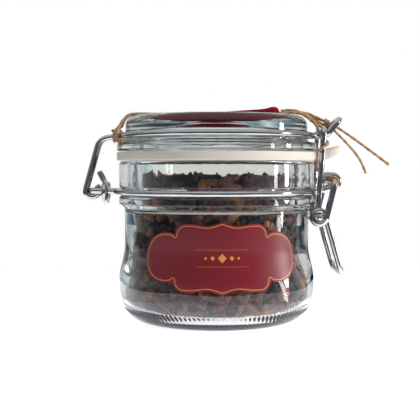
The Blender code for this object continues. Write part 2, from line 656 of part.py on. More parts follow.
def settle(bm, turn, centre):
    """Turns and moves a clove, then draws it in until it clears the glass."""
    bm.transform(Matrix.Translation(centre) @ turn)
    lowest = min(vert.co.z for vert in bm.verts)
    if lowest < FLOOR + CLOVE_CLEARANCE:
        bm.transform(Matrix.Translation((0, 0, FLOOR + CLOVE_CLEARANCE - lowest)))
    for _ in range(12):
        worst, direction = 0.0, None
        places = [v.co.copy() for v in bm.verts] + [(e.verts[0].co + e.verts[1].co) / 2 for e in bm.edges]
        for place in places:
            r = math.hypot(place.x, place.y)
            if r - clear_radius(place.z) > worst:
                worst, direction = r - clear_radius(place.z), Vector((place.x, place.y, 0)) / r
        if direction is None:
            break
        inward = Vector((centre[0], centre[1], 0))
        inward = inward.normalized() if inward.length > 1 else direction
        bm.transform(Matrix.Translation(-inward * (worst + 0.02)))


def clove_places(rng):
    """A rotation and a middle for every clove that shows: rows round the wall, then the crown of the heap."""
    for row in range(WALL_ROWS):
        z = 11.0 + row * 6.9
        for column in range(WALL_COLUMNS):
            angle = 2 * math.pi * (column + 0.5 * (row % 2) + rng.uniform(-0.22, 0.22)) / WALL_COLUMNS
            tilt = rng.uniform(-math.pi, math.pi)
            out = Matrix.Rotation(angle, 4, "Z")
            lean = Matrix.Rotation(rng.uniform(-0.16, 0.16), 4, "Y")
            r = inner_radius(z) - 2.1
            yield out @ lean @ Matrix.Rotation(tilt, 4, "X"), (r * math.cos(angle), r * math.sin(angle), z)
    for i in range(CROWN_CLOVES):
        r = (MOUTH_RADIUS - 6.5) * math.sqrt((i + 0.5) / CROWN_CLOVES)
        angle = i * math.pi * (3 - math.sqrt(5))
        spin = Matrix.Rotation(rng.uniform(0, 2 * math.pi), 4, "Z")
        lean = Matrix.Rotation(math.pi / 2 + rng.uniform(-0.35, 0.35), 4, "X")
        yield spin @ lean, (r * math.cos(angle), r * math.sin(angle), heap_height(r) + rng.uniform(0.0, 1.2))


def make_cloves():
    """The heap: a plain core a little inside the glass, with the cloves that show fused on."""
    rng = random.Random(11)
    core_rings = [(FLOOR_RADIUS - 1.0, FLOOR + CLOVE_CLEARANCE)]
    core_rings += [(inner_radius(z) - CORE_INSET, z) for z in (9.0, 14.0, 22.0, 31.0, 40.0)]
    core_rings += [(MOUTH_RADIUS - CORE_INSET, 47.0), (MOUTH_RADIUS - CORE_INSET, HEAP_EDGE - 0.8)]
    core_rings += [(r, heap_height(r) - 0.6) for r in (20.0, 10.0)]
    outline = [(0.0, FLOOR + CLOVE_CLEARANCE)] + core_rings + [(0.0, HEAP_CROWN - 0.6)]
    core = turned("cloves", outline, CLOVE)
    pieces = []
    for number, (turn, centre) in enumerate(clove_places(rng)):
        bm = clove_mesh(rng)
        settle(bm, turn, centre)
        bm.transform(Matrix.Scale(MM, 4))
        pieces.append(mesh_object(f"clove_{number}", bm))
    fuse(core, pieces, "MANIFOLD")
    core.data.shade_flat()


def main():
    clear_scene()
    make_jar()
    make_lid()
    make_gasket()
    make_lid_wire()
    make_neck_wire()
    make_hinge_stop()
    make_link()
    make_lever()
    make_twine()
    make_front_label()
    make_lid_label()
    make_cloves()


main()
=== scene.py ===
"""The looks of a clip-top glass jar of whole cloves, tied with jute twine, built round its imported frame.

+X points at the clasp, -X at the hinge, -Y at the front label and +Z up. Lengths are millimetres, and
MM turns them into Blender's metres where a mesh is made.
"""

import math

import bpy
import numpy as np
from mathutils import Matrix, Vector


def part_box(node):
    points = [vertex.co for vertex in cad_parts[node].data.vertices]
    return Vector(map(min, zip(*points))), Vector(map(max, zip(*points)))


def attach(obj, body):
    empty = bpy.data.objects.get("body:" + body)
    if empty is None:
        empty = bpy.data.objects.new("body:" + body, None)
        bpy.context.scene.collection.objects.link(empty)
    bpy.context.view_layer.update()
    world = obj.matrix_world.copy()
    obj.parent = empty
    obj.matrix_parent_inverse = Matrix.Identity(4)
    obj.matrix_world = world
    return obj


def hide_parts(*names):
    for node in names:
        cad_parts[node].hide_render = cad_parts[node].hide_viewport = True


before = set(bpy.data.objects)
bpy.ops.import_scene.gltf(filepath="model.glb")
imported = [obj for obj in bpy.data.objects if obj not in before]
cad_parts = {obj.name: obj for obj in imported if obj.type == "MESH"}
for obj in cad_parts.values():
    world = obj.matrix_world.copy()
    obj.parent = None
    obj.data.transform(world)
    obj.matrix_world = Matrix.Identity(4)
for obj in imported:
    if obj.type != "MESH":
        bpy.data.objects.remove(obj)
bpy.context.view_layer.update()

MM = 0.001
TAU = 2 * math.pi


def box_of(node):
    """A node's lowest and highest corner, in mm."""
    low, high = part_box(node)
    return np.array(low) / MM, np.array(high) / MM


JAR_HIGH = box_of("jar_glass")[1]
LID_LOW, LID_HIGH = box_of("lid_glass")
GASKET_LOW, GASKET_HIGH = box_of("gasket")

# Jar
FOOT_RADIUS = 29.0
BELLY_RADIUS, BELLY_HEIGHT = JAR_HIGH[0], 14.5
WAIST_RADIUS = 36.9
WAIST_BOTTOM, WAIST_TOP = 31.0, 45.2
BEAD_RADIUS, BEAD_BOTTOM, BEAD_TOP = 39.2, 47.6, 49.8
NECK_GROOVE_RADIUS = 37.2
RIM_RADIUS, RIM_BOTTOM, RIM_TOP = 39.2, 53.4, JAR_HIGH[2]
WALL, FLOOR, FLOOR_RADIUS = 3.2, 3.6, 27.6
INNER_HEEL_RADIUS, INNER_HEEL_HEIGHT = 36.6, 11.0
SHOULDER_BOTTOM, MOUTH_BOTTOM, MOUTH_RADIUS = 43.8, 45.6, 30.5
PUNT_RADIUS, PUNT_RISE = 24.5, 1.3
KNURL_HEIGHT, KNURL_SPREAD, KNURL_DEPTH, KNURLS = 4.9, 0.95, 0.3, 130
JAR_COLUMNS, JAR_LONG_EDGE = 4 * KNURLS, 1.7
WALL_WAVES = 0.09

# Gasket
GASKET_INNER, GASKET_OUTER, GASKET_THICKNESS = 31.0, GASKET_HIGH[1], 3.4
GASKET_TAB_END, GASKET_TAB_HALF_WIDTH, GASKET_TAB_RISE = GASKET_HIGH[0], 4.6, 2.8
GASKET_CORNER, GASKET_EDGE, GASKET_COLUMNS = 0.45, 2.5, 720

# Lid
LID_TOP = LID_HIGH[2]
FLANGE_RADIUS, FLANGE_TOP = LID_HIGH[0], 70.9
LID_BOTTOM = 67.6
LID_BODY_RADIUS, LID_TOP_RADIUS = 36.5, 32.2
LID_RECESS_RADIUS, LID_RECESS_TOP, LID_RECESS_DOME = 27.0, 76.2, 2.4
PLUG_RADIUS, PLUG_BOTTOM = 29.8, LID_LOW[2]
LID_COLUMNS, LID_RIPPLE = 256, 0.06

# Wires
WIRE_RADIUS = 1.17
WIRE_STEP, WIRE_SIDES = 0.55, 20
LID_RING_RADIUS, LID_RING_HEIGHT = 38.2, 73.9
NECK_RING_RADIUS, NECK_RING_HEIGHT, NECK_LEAVE = 38.8, 51.6, 20
EYE_RADIUS = 2.6
HINGE_X, HINGE_Z = -50.1, 51.9
STOP_X, STOP_TIP_X, STOP_TIP_Z = -44.6, -47.4, 59.6
HINGE_LEG_Y, HINGE_LEAVE, HINGE_LOOP_Y = 1.4, 10, 4.0
CURL_START, CURL_END = 50, 169
LEG_CORNER_X, LEG_CORNER_Z = -47.0, 72.6
PIVOT_X, PIVOT_Z, PIVOT_EYE_Y = 45.9, 55.6, 6.3
LEVER_UPPER_Y, LEVER_HANDLE_Y, PAST_EYE = 15.5, 12.9, 2.2
COIL_X, COIL_Z = 39.9, 41.8
LINK_Y, LINK_TOP_X, LINK_TOP_Z = 10.2, 42.2, 76.5
HANDLE_END_X, HANDLE_END_Z = 49.0, 19.3
TAB_Y, TAB_LEAVE, TAB_KNEE_X, TAB_TIP_X, TAB_TIP_Z = 5.0, 18, 43.6, 49.0, 80.3

# Twine
TWINE_RADIUS = 0.5
PLY_PITCH = 3.4
STRAND_Y = 0.75
WRAP_START_X, WRAP_TURNS, WRAP_PITCH = -41.9, 2.1, 1.3
PIN_WRAP_Y = 9.4
TWINE_STEP, TWINE_SIDES = 0.28, 14
WRAP_GAP, CLASP_GAP = 0.5, 0.28
FIBRE_SPACING, FIBRE_SEED = 0.55, 5
LONG_TAIL = [
    (46.2, -0.9, 78.4), (49.2, -1.0, 76.8), (54.8, -2.0, 72.9), (61.4, -3.5, 67.9), (68.6, -5.0, 62.3),
]
SHORT_TAIL = [
    (45.9, 0.9, 77.9), (48.2, 1.4, 75.6), (52.6, 2.4, 71.3), (57.0, 3.4, 66.5), (59.4, 4.2, 62.8),
    (61.2, 5.0, 58.8),
]

# Labels
LABEL_HALF_WIDTH, LABEL_NOTCH, LOBE_MIDDLE, LOBE_HEIGHT = 31.9, 18.3, 22.0, 9.3
LABEL_PEAK, LABEL_DIP, LABEL_SHOULDER, LABEL_CORNER = 13.4, 11.8, 12.5, 4.4
LABEL_MIDDLE_Z, LABEL_TURN = 28.1, math.radians(2.9)
PAPER_THICKNESS, SUNK_IN_JAR, SUNK_IN_LID, UNPRINTED = 0.12, 0.03, 0.2, 100.0
LID_LABEL_LEFT, LID_LABEL_RIGHT, LID_LABEL_HALF_DEPTH, LID_LABEL_CORNER = -16.0, 24.5, 13.0, 4.0
BORDER_INSET, BORDER_HALF = 0.85, 0.13
RULE_HEIGHTS, RULE_HALF, RULE_REACH, RULE_STRENGTH = (3.05, -3.1), 0.07, 10.0, 0.55
DIAMONDS = ((0.0, 1.7), (3.6, 0.9), (6.2, 0.6))
LIFT_START_X, LIFT_START_Y = -3.0, 5.0
LID_LABEL_LIFT, LID_LABEL_CURL, LID_LABEL_HIGHEST = 2.3, 1.6, 3.1
BUCKLE_X, BUCKLE_SPREAD, BUCKLE_SHARE = -10.3, 1.6, 0.45
CORNER_SLANT, CORNER_FROM, CORNER_SPAN = 0.8, 27.0, 7.0

# Cloves
HEAP_EDGE, HEAP_CROWN = 56.6, 58.4
SHELL_DEPTH = 10.0
CLOVE_LENGTH, CLOVE_COUNT, CLOVE_SEED = 13.5, 640, 23
STEM_TURNS, BUD_TURNS = 16, 12
EASED_CLEAR, EASED_OVER = 0.15, 1.2
CORE_INSET, CORE_COLUMNS, CORE_LUMPS = 4.6, 96, 0.7

# How the cloves settle: four beads on each one's rod, from tail to bud
BEADS = np.array([-5.3, -1.9, 1.5, 5.0])
BEAD_RADII = np.array([0.95, 1.2, 1.5, 2.25])
SETTLING_STEPS, PAIRING_EVERY, PAIRING_MARGIN = 150, 10, 1.2
SHOVE_SHARE, FALL, OUTWARD = 0.28, 0.02, 1.003
WALL_GAP, TOP_GIVE = 0.12, 1.2

# Camera, worked out from the rims' ellipses and the height of the horizon
CAMERA_DISTANCE, CAMERA_X, CAMERA_Z = 365.0, -2.6, 62.2
CAMERA_PITCH, CAMERA_FIELD = math.radians(2.86), math.radians(26.2)

# The room that glass and wires mirror, from -X at 0 to +X at 1
BELOW_HORIZON = [
    (0.0, "#23292f"), (0.13, "#1f262c"), (0.2, "#49606e"), (0.26, "#6f8b9c"), (0.31, "#e3eaee"),
    (0.36, "#6d8899"), (0.43, "#a9b8c2"), (0.5, "#e8eaec"), (0.56, "#c4c8ce"), (0.62, "#3b465a"),
    (0.72, "#171f33"), (0.8, "#2b3448"), (0.88, "#2c333b"), (1.0, "#6a7278"),
]
ABOVE_HORIZON = [
    (0.0, "#b0b7bc"), (0.12, "#dadcdd"), (0.25, "#a3acb2"), (0.34, "#ece8e6"), (0.5, "#eee4de"),
    (0.64, "#ece6e2"), (0.74, "#a9a8ab"), (0.84, "#dedbd8"), (1.0, "#b8bbbd"),
]
FRONT_TONE, CEILING_TONE = "#5d6068", "#dcdce0"

# Lamps, in metres and watts: name, place, width and height, power, and whether glass and wires mirror it
LAMPS = (
    ("right_window", (0.56, -0.05, 0.10), (0.07, 0.20), 0.85, True),
    ("right_wall", (0.58, -0.28, 0.26), (0.30, 0.40), 3.0, False),
    ("top_box", (0.10, -0.15, 0.70), (0.40, 0.40), 1.2, False),
)
LAMPS_LOOK_AT = 0.04
TABLE_HALF = 0.15


# Camera and lights

def make_camera():
    data = bpy.data.cameras.new("camera")
    data.sensor_fit = "HORIZONTAL"
    data.angle = CAMERA_FIELD
    data.clip_start, data.clip_end = 0.01, 20
    camera = bpy.data.objects.new("camera", data)
    camera.location = (CAMERA_X * MM, -CAMERA_DISTANCE * MM, CAMERA_Z * MM)
    camera.rotation_euler = (math.pi / 2 - CAMERA_PITCH, 0, 0)
    bpy.context.scene.collection.objects.link(camera)
    bpy.context.scene.camera = camera


def add_node(tree, kind, inputs=None, stops=None, **settings):
    """Adds one node. Its inputs are numbers, colours, other nodes' outputs, or a node for its first output.

    settings are its own, and stops are a colour ramp's places from 0 to 1, each with a colour.
    """
    node = tree.nodes.new("ShaderNode" + kind)
    for key, value in settings.items():
        setattr(node, key, value)
    for key, value in (inputs or {}).items():
        if isinstance(value, bpy.types.Node):
            value = value.outputs[0]
        if isinstance(value, bpy.types.NodeSocket):
            tree.links.new(value, node.inputs[key])
        else:
            node.inputs[key].default_value = value
    if stops:
        for spot, _ in stops[1:-1]:
            node.color_ramp.elements.new(spot)
        for element, (spot, colour) in zip(node.color_ramp.elements, stops):
            element.position = spot
            element.color = linear(colour)
    return node


def linear(colour):
    """An sRGB hex colour as linear red, green, blue and an alpha of 1."""
    parts = np.array([int(colour[i:i + 2], 16) for i in (1, 3, 5)]) / 255
    parts = np.where(parts <= 0.04045, parts / 12.92, ((parts + 0.055) / 1.055) ** 2.4)
    return (*parts.tolist(), 1.0)


def make_world():
    """White to the eye. What glass and wires mirror is a room in bands from left to right.

    The bands are paler above the horizon. The front, behind the camera, is dim, and the ceiling is pale.
    """
    world = bpy.data.worlds.new("studio")
    world.use_nodes = True
    tree = world.node_tree
    tree.nodes.clear()
    place = add_node(tree, "TexCoord")
    axes = add_node(tree, "SeparateXYZ", {"Vector": place.outputs["Generated"]}).outputs
    sideways = add_node(tree, "MapRange", {"Value": axes["X"], "From Min": -1.0, "From Max": 1.0})
    horizon = add_node(tree, "MapRange", {"Value": axes["Z"], "From Min": -0.055, "From Max": -0.03})
    overhead = add_node(tree, "MapRange", {
        "Value": axes["Z"], "From Min": 0.08, "From Max": 0.16, "To Min": 1.0, "To Max": 0.55,
    })
    around = add_node(tree, "Mix", {
        "Factor": add_node(tree, "Math", {0: horizon, 1: overhead}, operation="MULTIPLY"),
        "A": add_node(tree, "ValToRGB", {"Fac": sideways}, BELOW_HORIZON),
        "B": add_node(tree, "ValToRGB", {"Fac": sideways}, ABOVE_HORIZON),
    }, data_type="RGBA")
    front = add_node(tree, "MapRange", {"Value": axes["Y"], "From Min": -0.78, "From Max": 0.0})
    room = add_node(tree, "Mix", {
        "Factor": front, "A": linear(FRONT_TONE), "B": around.outputs[2],
    }, data_type="RGBA")
    upward = add_node(tree, "MapRange", {"Value": axes["Z"], "From Min": 0.45, "From Max": 0.75})
    lit = add_node(tree, "Mix", {
        "Factor": upward, "A": room.outputs[2], "B": linear(CEILING_TONE),
    }, data_type="RGBA")
    reflected = add_node(tree, "Background", {"Color": lit.outputs[2], "Strength": 1.0})
    seen = add_node(tree, "Background", {"Color": linear("#ffffff"), "Strength": 1.0})
    path = add_node(tree, "LightPath")
    chosen = add_node(tree, "MixShader", {0: path.outputs["Is Camera Ray"], 1: reflected, 2: seen})
    add_node(tree, "OutputWorld", {"Surface": chosen})
    bpy.context.scene.world = world


def make_lamps():
    """Oval soft lamps that look at the jar. Only the narrow one at the right is mirrored."""
    for name, spot, size, power, mirrored_too in LAMPS:
        data = bpy.data.lights.new(name, "AREA")
        data.shape = "ELLIPSE"
        data.size, data.size_y = size
        data.energy = power
        lamp = bpy.data.objects.new(name, data)
        lamp.location = spot
        toward = np.array([0, 0, LAMPS_LOOK_AT]) - np.array(spot)
        pitch = math.atan2(math.hypot(toward[0], toward[1]), -toward[2])
        lamp.rotation_euler = (pitch, 0, math.atan2(-toward[0], toward[1]))
        lamp.visible_glossy = mirrored_too
        lamp.visible_transmission = mirrored_too
        bpy.context.scene.collection.objects.link(lamp)
    bpy.context.scene.view_settings.view_transform = "Standard"


# Mesh tools

def unit(vectors):
    return vectors / np.linalg.norm(vectors, axis=-1, keepdims=True)


def spoke(radius, angle, height):
    """The points at a radius, an angle about Z from +X, and a height."""
    return np.stack(np.broadcast_arrays(radius * np.cos(angle), radius * np.sin(angle), height), -1)


def wrapped_quads(rows, columns, wrap_rows):
    """Four corners of each face of a grid that closes on itself across its columns."""
    i, j = np.meshgrid(np.arange(rows if wrap_rows else rows - 1), np.arange(columns), indexing="ij")
    ni, nj = (i + 1) % rows, (j + 1) % columns
    corners = [i * columns + j, i * columns + nj, ni * columns + nj, ni * columns + j]
    return np.stack(corners, -1).reshape(-1, 4)


def skin(grid, wrap_rows=False, first_pole=None, last_pole=None):
    """A grid (rows, columns, 3) closed across its columns, with a fan to each pole that is given."""
    rows, columns = grid.shape[:2]
    points, faces = [grid.reshape(-1, 3)], [wrapped_quads(rows, columns, wrap_rows)]
    j = np.arange(columns)
    count = rows * columns
    if first_pole is not None:
        points.append(np.array([first_pole], float))
        faces.append(np.stack([np.full(columns, count), (j + 1) % columns, j], -1))
        count += 1
    if last_pole is not None:
        points.append(np.array([last_pole], float))
        row = (rows - 1) * columns
        faces.append(np.stack([np.full(columns, count), row + j, row + (j + 1) % columns], -1))
    return np.concatenate(points), faces


def joined(shapes):
    """Several (points, faces) shapes as one."""
    points, faces, start = [], [], 0
    for own_points, own_faces in shapes:
        points.append(own_points)
        faces += [block + start for block in own_faces]
        start += len(own_points)
    return np.concatenate(points), faces


def put(name, shape, material, replaced=(), values=None):
    """Makes a smooth piece of a shape in mm. values maps an attribute's name to 1 or 2 numbers a point."""
    points, faces = shape
    mesh = bpy.data.meshes.new(name)
    sizes = np.concatenate([np.full(len(block), block.shape[1]) for block in faces])
    mesh.vertices.add(len(points))
    mesh.vertices.foreach_set("co", (points * MM).astype(np.float32).ravel())
    mesh.loops.add(int(sizes.sum()))
    mesh.loops.foreach_set("vertex_index", np.concatenate([b.ravel() for b in faces]).astype(np.int32))
    mesh.polygons.add(len(sizes))
    mesh.polygons.foreach_set("loop_start", (np.cumsum(sizes) - sizes).astype(np.int32))
    mesh.update(calc_edges=True)
    for key, numbers in (values or {}).items():
        numbers = np.asarray(numbers, np.float32)
        kind, field = ("FLOAT", "value") if numbers.ndim == 1 else ("FLOAT2", "vector")
        mesh.attributes.new(key, kind, "POINT").data.foreach_set(field, numbers.ravel())
    mesh.validate()
    mesh.shade_smooth()
    piece = bpy.data.objects.new(name, mesh)
    mesh.materials.append(material)
    bpy.context.scene.collection.objects.link(piece)
    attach(piece, "root")
    if replaced:
        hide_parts(*replaced)
    return piece


def rounded(outline, radii, step=math.radians(12)):
    """A flat outline with its corners made arcs. radii maps a point's index to its radius."""
    outline = np.asarray(outline, float)
    corners = [((x, 0.0, z), radii.get(i, 0)) for i, (x, z) in enumerate(outline)]
    return bent(corners, step)[:, [0, 2]]


def held(outline, long, near=0.12, step=3.0):
    """A flat outline with points added near the ends of its long edges, so that they shade flat."""
    outline = np.asarray(outline, float)
    kept = []
    for start, end in zip(outline[:-1], outline[1:]):
        size = np.linalg.norm(end - start)
        stops = np.array([0.0])
        if size > long:
            inner = np.linspace(near, size - near, max(2, math.ceil(size / step)))
            stops = np.concatenate([stops, inner / size])
        kept.append(start + stops[:, None] * (end - start))
    return np.concatenate([*kept, outline[-1:]])


def turned(outline, columns, wave=None, long=0.5):
    """An outline of (radius, height) carried round Z. wave(angles, radii, heights) adds to each radius."""
    outline = held(outline, long)
    closed = outline[0, 0] > 0
    body = outline if closed else outline[1:-1]
    angles = np.arange(columns) * TAU / columns
    radii = body[:, :1] + (wave(angles[None], body[:, :1], body[:, 1:]) if wave else 0 * angles[None])
    grid = spoke(radii, angles, body[:, 1:])
    if closed:
        return skin(grid, wrap_rows=True)
    return skin(grid, first_pole=(0, 0, outline[0, 1]), last_pole=(0, 0, outline[-1, 1]))


# Paths

def spun(vector, axis, angles):
    """A vector turned about a unit axis by each angle."""
    c, s = np.cos(angles)[:, None], np.sin(angles)[:, None]
    return vector * c + np.cross(axis, vector) * s + axis * (axis @ vector) * (1 - c)


def bent(corners, step=math.radians(7)):
    """A path bent at its corners. Each is (point, bend radius), and 0 keeps the point as it is."""
    stretches = []
    for index, (corner, radius) in enumerate(corners):
        here = np.array(corner, float)
        if radius == 0 or index in (0, len(corners) - 1):
            stretches.append(here[None])
            continue
        back = unit(np.array(corners[index - 1][0]) - here)
        ahead = unit(np.array(corners[index + 1][0]) - here)
        between = math.acos(np.clip(back @ ahead, -1, 1))
        turn = math.pi - between
        centre = here + unit(back + ahead) * (radius / math.sin(between / 2))
        arm = here + back * radius / math.tan(between / 2) - centre
        angles = np.linspace(0, -turn, max(3, round(turn / step)) + 1)
        stretches.append(centre + spun(arm, unit(np.cross(back, ahead)), angles))
    return np.concatenate(stretches)


def curl(centre_x, centre_z, start, end, y_start, y_end):
    """A curl of the eyes' size in an upright plane along X, in degrees, drifting along Y."""
    share = np.linspace(0, 1, max(3, round(abs(end - start) / 8)) + 1)
    angles = np.radians(start + (end - start) * share)
    return np.stack([
        centre_x + EYE_RADIUS * np.cos(angles),
        y_start + (y_end - y_start) * share,
        centre_z + EYE_RADIUS * np.sin(angles),
    ], -1)


def ring_stretch(radius, height, start, end):
    """A level arc round the jar, in degrees from +X towards +Y."""
    angles = np.radians(np.linspace(start, end, round(abs(end - start) / 3) + 1))
    return spoke(radius, angles, height)


def leaving_corner(radius, leave, y_line, side):
    """Where a wire that leaves a ring along its tangent meets the line at y = -y_line. side is +1 at +X."""
    angle = math.radians(leave)
    along = (radius * math.sin(angle) - y_line) / math.cos(angle)
    return side * (radius * math.cos(angle) + math.sin(angle) * along)


def chained(*stretches):
    """Paths end to end, each giving up its last point to the next one's first."""
    return np.concatenate([s[:-1] for s in stretches[:-1]] + [stretches[-1]])


def mirrored(half):
    """A half path at -Y, and then the same path back at +Y."""
    return np.concatenate([half, half[::-1] * (1, -1, 1)])


def smooth_route(route, steps=10):
    """A Catmull-Rom curve through a route's own points."""
    knots = np.array(route, float)
    knots = np.concatenate([[2 * knots[0] - knots[1]], knots, [2 * knots[-1] - knots[-2]]])
    a, b, c, d = (knots[i:len(knots) - 3 + i, None] for i in range(4))
    t = (np.arange(steps) / steps)[None, :, None]
    curve = 0.5 * (2 * b + (c - a) * t + (2 * a - 5 * b + 4 * c - d) * t**2 + (3 * b - a - 3 * c + d) * t**3)
    return np.concatenate([curve.reshape(-1, 3), knots[-2:-1]])


def lengths_along(path):
    return np.concatenate([[0.0], np.cumsum(np.linalg.norm(np.diff(path, axis=0), axis=1))])


def evenly(path, spacing):
    """The same path with its points evenly spaced."""
    run = lengths_along(path)
    stops = np.linspace(0, run[-1], round(run[-1] / spacing) + 1)
    return np.stack([np.interp(stops, run, path[:, axis]) for axis in range(3)], -1)


def tube(path, sides, radius_at):
    """A tube along a path, of radius radius_at(length along, angle). Returns a shape and (length, angle)."""
    along = unit(np.gradient(path, axis=0))
    side = unit(np.cross(along[0], (0.13, 0.31, 0.94)))
    carried = []
    for direction in along:
        side = unit(side - direction * (side @ direction))
        carried.append(side)
    across = np.array(carried)
    up = np.cross(along, across)
    angles = np.arange(sides) * TAU / sides
    run = lengths_along(path)[:, None]
    radii = radius_at(run, angles[None])[..., None]
    turn = np.cos(angles)[None, :, None] * across[:, None] + np.sin(angles)[None, :, None] * up[:, None]
    grid = path[:, None] + radii * turn
    shape = skin(grid, first_pole=path[0], last_pole=path[-1])
    places = np.stack(np.broadcast_arrays(run, angles[None]), -1).reshape(-1, 2)
    return shape, np.concatenate([places, [[0.0, 0.0], [run[-1, 0], 0.0]]])


# Wires

def wire_radius(total):
    """A round wire cut square, with its sharp ends just broken."""
    def radius_at(run, angles):
        from_end = np.minimum(run, total - run)
        return WIRE_RADIUS * np.sqrt(np.clip(0.6 + from_end / 0.5, 0, 1)) + 0 * angles
    return radius_at


def put_wire(name, path, node, material):
    path = evenly(path, WIRE_STEP)
    shape, places = tube(path, WIRE_SIDES, wire_radius(lengths_along(path)[-1]))
    put(name, shape, material, (node,), {"strand": places})


def lid_wire_leg():
    """The near leg of the lid wire: its hinge curl, the rise, and the bend to the start of the ring."""
    hook = curl(HINGE_X, HINGE_Z, CURL_START, CURL_END - 360, -HINGE_LEG_Y, -HINGE_LEG_Y)
    off_ring_x = leaving_corner(LID_RING_RADIUS, HINGE_LEAVE, HINGE_LEG_Y, -1)
    ring_start = ring_stretch(LID_RING_RADIUS, LID_RING_HEIGHT, 180 + HINGE_LEAVE, 190 + HINGE_LEAVE)[0]
    rise = bent([
        (hook[-1], 0),
        ((LEG_CORNER_X, -HINGE_LEG_Y, LEG_CORNER_Z), 5.0),
        ((off_ring_x, -HINGE_LEG_Y, LID_RING_HEIGHT), 1.6),
        (ring_start, 0),
    ])
    return chained(hook, rise)


def lid_wire_path():
    """Hinge curl, leg, round the lid, the lifting tab, and back the same way."""
    ring = ring_stretch(LID_RING_RADIUS, LID_RING_HEIGHT, 180 + HINGE_LEAVE, 360 - TAB_LEAVE)
    off_tab_x = leaving_corner(LID_RING_RADIUS, TAB_LEAVE, TAB_Y, 1)
    tab = bent([
        (ring[-1], 0),
        ((off_tab_x, -TAB_Y, LID_RING_HEIGHT), 2.4),
        ((TAB_KNEE_X, -TAB_Y, LID_RING_HEIGHT), 3.0),
        ((TAB_TIP_X, -TAB_Y, TAB_TIP_Z), 2.6),
        ((TAB_TIP_X, 0, TAB_TIP_Z), 0),
    ])
    return mirrored(chained(lid_wire_leg(), ring, tab)[:-1])


def neck_wire_path():
    """Lever eye, round the neck, the hinge loop, and back to the other eye."""
    eye = curl(PIVOT_X, PIVOT_Z, 190, -90, -PIVOT_EYE_Y, -PIVOT_EYE_Y)
    off_ring_x = leaving_corner(NECK_RING_RADIUS, NECK_LEAVE, PIVOT_EYE_Y, 1)
    ring = ring_stretch(NECK_RING_RADIUS, NECK_RING_HEIGHT, -NECK_LEAVE, NECK_LEAVE - 180)
    lead = bent([
        (eye[-1], 0),
        ((off_ring_x + 3.0, -PIVOT_EYE_Y, NECK_RING_HEIGHT + 0.5), 3.0),
        ((off_ring_x, -PIVOT_EYE_Y, NECK_RING_HEIGHT), 2.2),
        (ring[0], 0),
    ])
    loop_x = leaving_corner(NECK_RING_RADIUS, NECK_LEAVE, HINGE_LOOP_Y, -1)
    loop = bent([
        (ring[-1], 0),
        ((loop_x, -HINGE_LOOP_Y, NECK_RING_HEIGHT), 2.6),
        ((HINGE_X, -HINGE_LOOP_Y, HINGE_Z), 1.6),
        ((HINGE_X, 0, HINGE_Z), 0),
    ])
    return mirrored(chained(eye, lead, ring, loop)[:-1])


def hinge_stop_path():
    """A ring closed round the hinge loop, whose end stands up."""
    middle_z = HINGE_Z - 0.5
    half_width, half_height = HINGE_LOOP_Y + 3.1, 3.8
    angles = np.radians(np.linspace(25, 325, 46))
    ring = np.stack([
        np.full(len(angles), STOP_X), -half_width * np.sin(angles), middle_z + half_height * np.cos(angles),
    ], -1)
    stub = bent([
        ((STOP_TIP_X, 0.0, STOP_TIP_Z), 0),
        ((STOP_X - 0.6, 0.0, middle_z + half_height + 0.4), 1.8),
        (ring[0], 0),
    ])
    return chained(stub, ring)


def link_path():
    """A bar over the lid's tab, two legs, and ends that turn out through the lever's coils."""
    half = bent([
        ((COIL_X, -LEVER_UPPER_Y - PAST_EYE, COIL_Z), 0),
        ((COIL_X, -LINK_Y, COIL_Z), 1.8),
        ((LINK_TOP_X, -LINK_Y, LINK_TOP_Z), 2.4),
        ((LINK_TOP_X, 0, LINK_TOP_Z), 0),
    ])
    return mirrored(half[:-1])


def lever_path():
    """A pin in each neck eye, a leg, one coil round the link's end, and the handle."""
    pivot, coil = np.array([PIVOT_X, PIVOT_Z]), np.array([COIL_X, COIL_Z])
    handle = np.array([HANDLE_END_X, HANDLE_END_Z])
    into = math.degrees(math.asin((coil[0] - pivot[0] + EYE_RADIUS) / np.linalg.norm(pivot - coil)))
    out_of = math.degrees(math.asin((handle[0] - coil[0] - EYE_RADIUS) / np.linalg.norm(handle - coil)))
    coils = curl(COIL_X, COIL_Z, into, out_of - 360, -LEVER_UPPER_Y, -LEVER_HANDLE_Y)
    upper = bent([
        ((PIVOT_X, -PIVOT_EYE_Y + PAST_EYE, PIVOT_Z), 0),
        ((PIVOT_X, -LEVER_UPPER_Y, PIVOT_Z), 1.8),
        (coils[0], 0),
    ])
    lower = bent([
        (coils[-1], 0),
        ((HANDLE_END_X, -LEVER_HANDLE_Y, HANDLE_END_Z), 3.2),
        ((HANDLE_END_X, 0, HANDLE_END_Z), 0),
    ])
    return mirrored(chained(upper, coils, lower)[:-1])


def make_wires():
    steel = plated_steel()
    put_wire("lid_wire_round", lid_wire_path(), "lid_wire", steel)
    put_wire("neck_wire_round", neck_wire_path(), "neck_wire", steel)
    put_wire("hinge_stop_round", hinge_stop_path(), "hinge_stop", steel)
    put_wire("link_round", link_path(), "clasp_link", steel)
    put_wire("lever_round", lever_path(), "clasp_lever", steel)


# Twine

def twine_radius(total, phase):
    """Two plies twisted together: the radius swells twice in a turn, and the crests climb along it."""
    def radius_at(run, angles):
        plies = np.abs(np.cos(angles - TAU / 2 * run / PLY_PITCH + phase))
        uneven = 1 + 0.06 * np.sin(run * 0.9 + phase) + 0.04 * np.sin(run * 2.3 + 2 * phase)
        worn = 1 + 0.16 * np.exp(-((total - run) / 1.6) ** 2)
        return TWINE_RADIUS * (0.74 + 0.36 * plies) * uneven * worn
    return radius_at


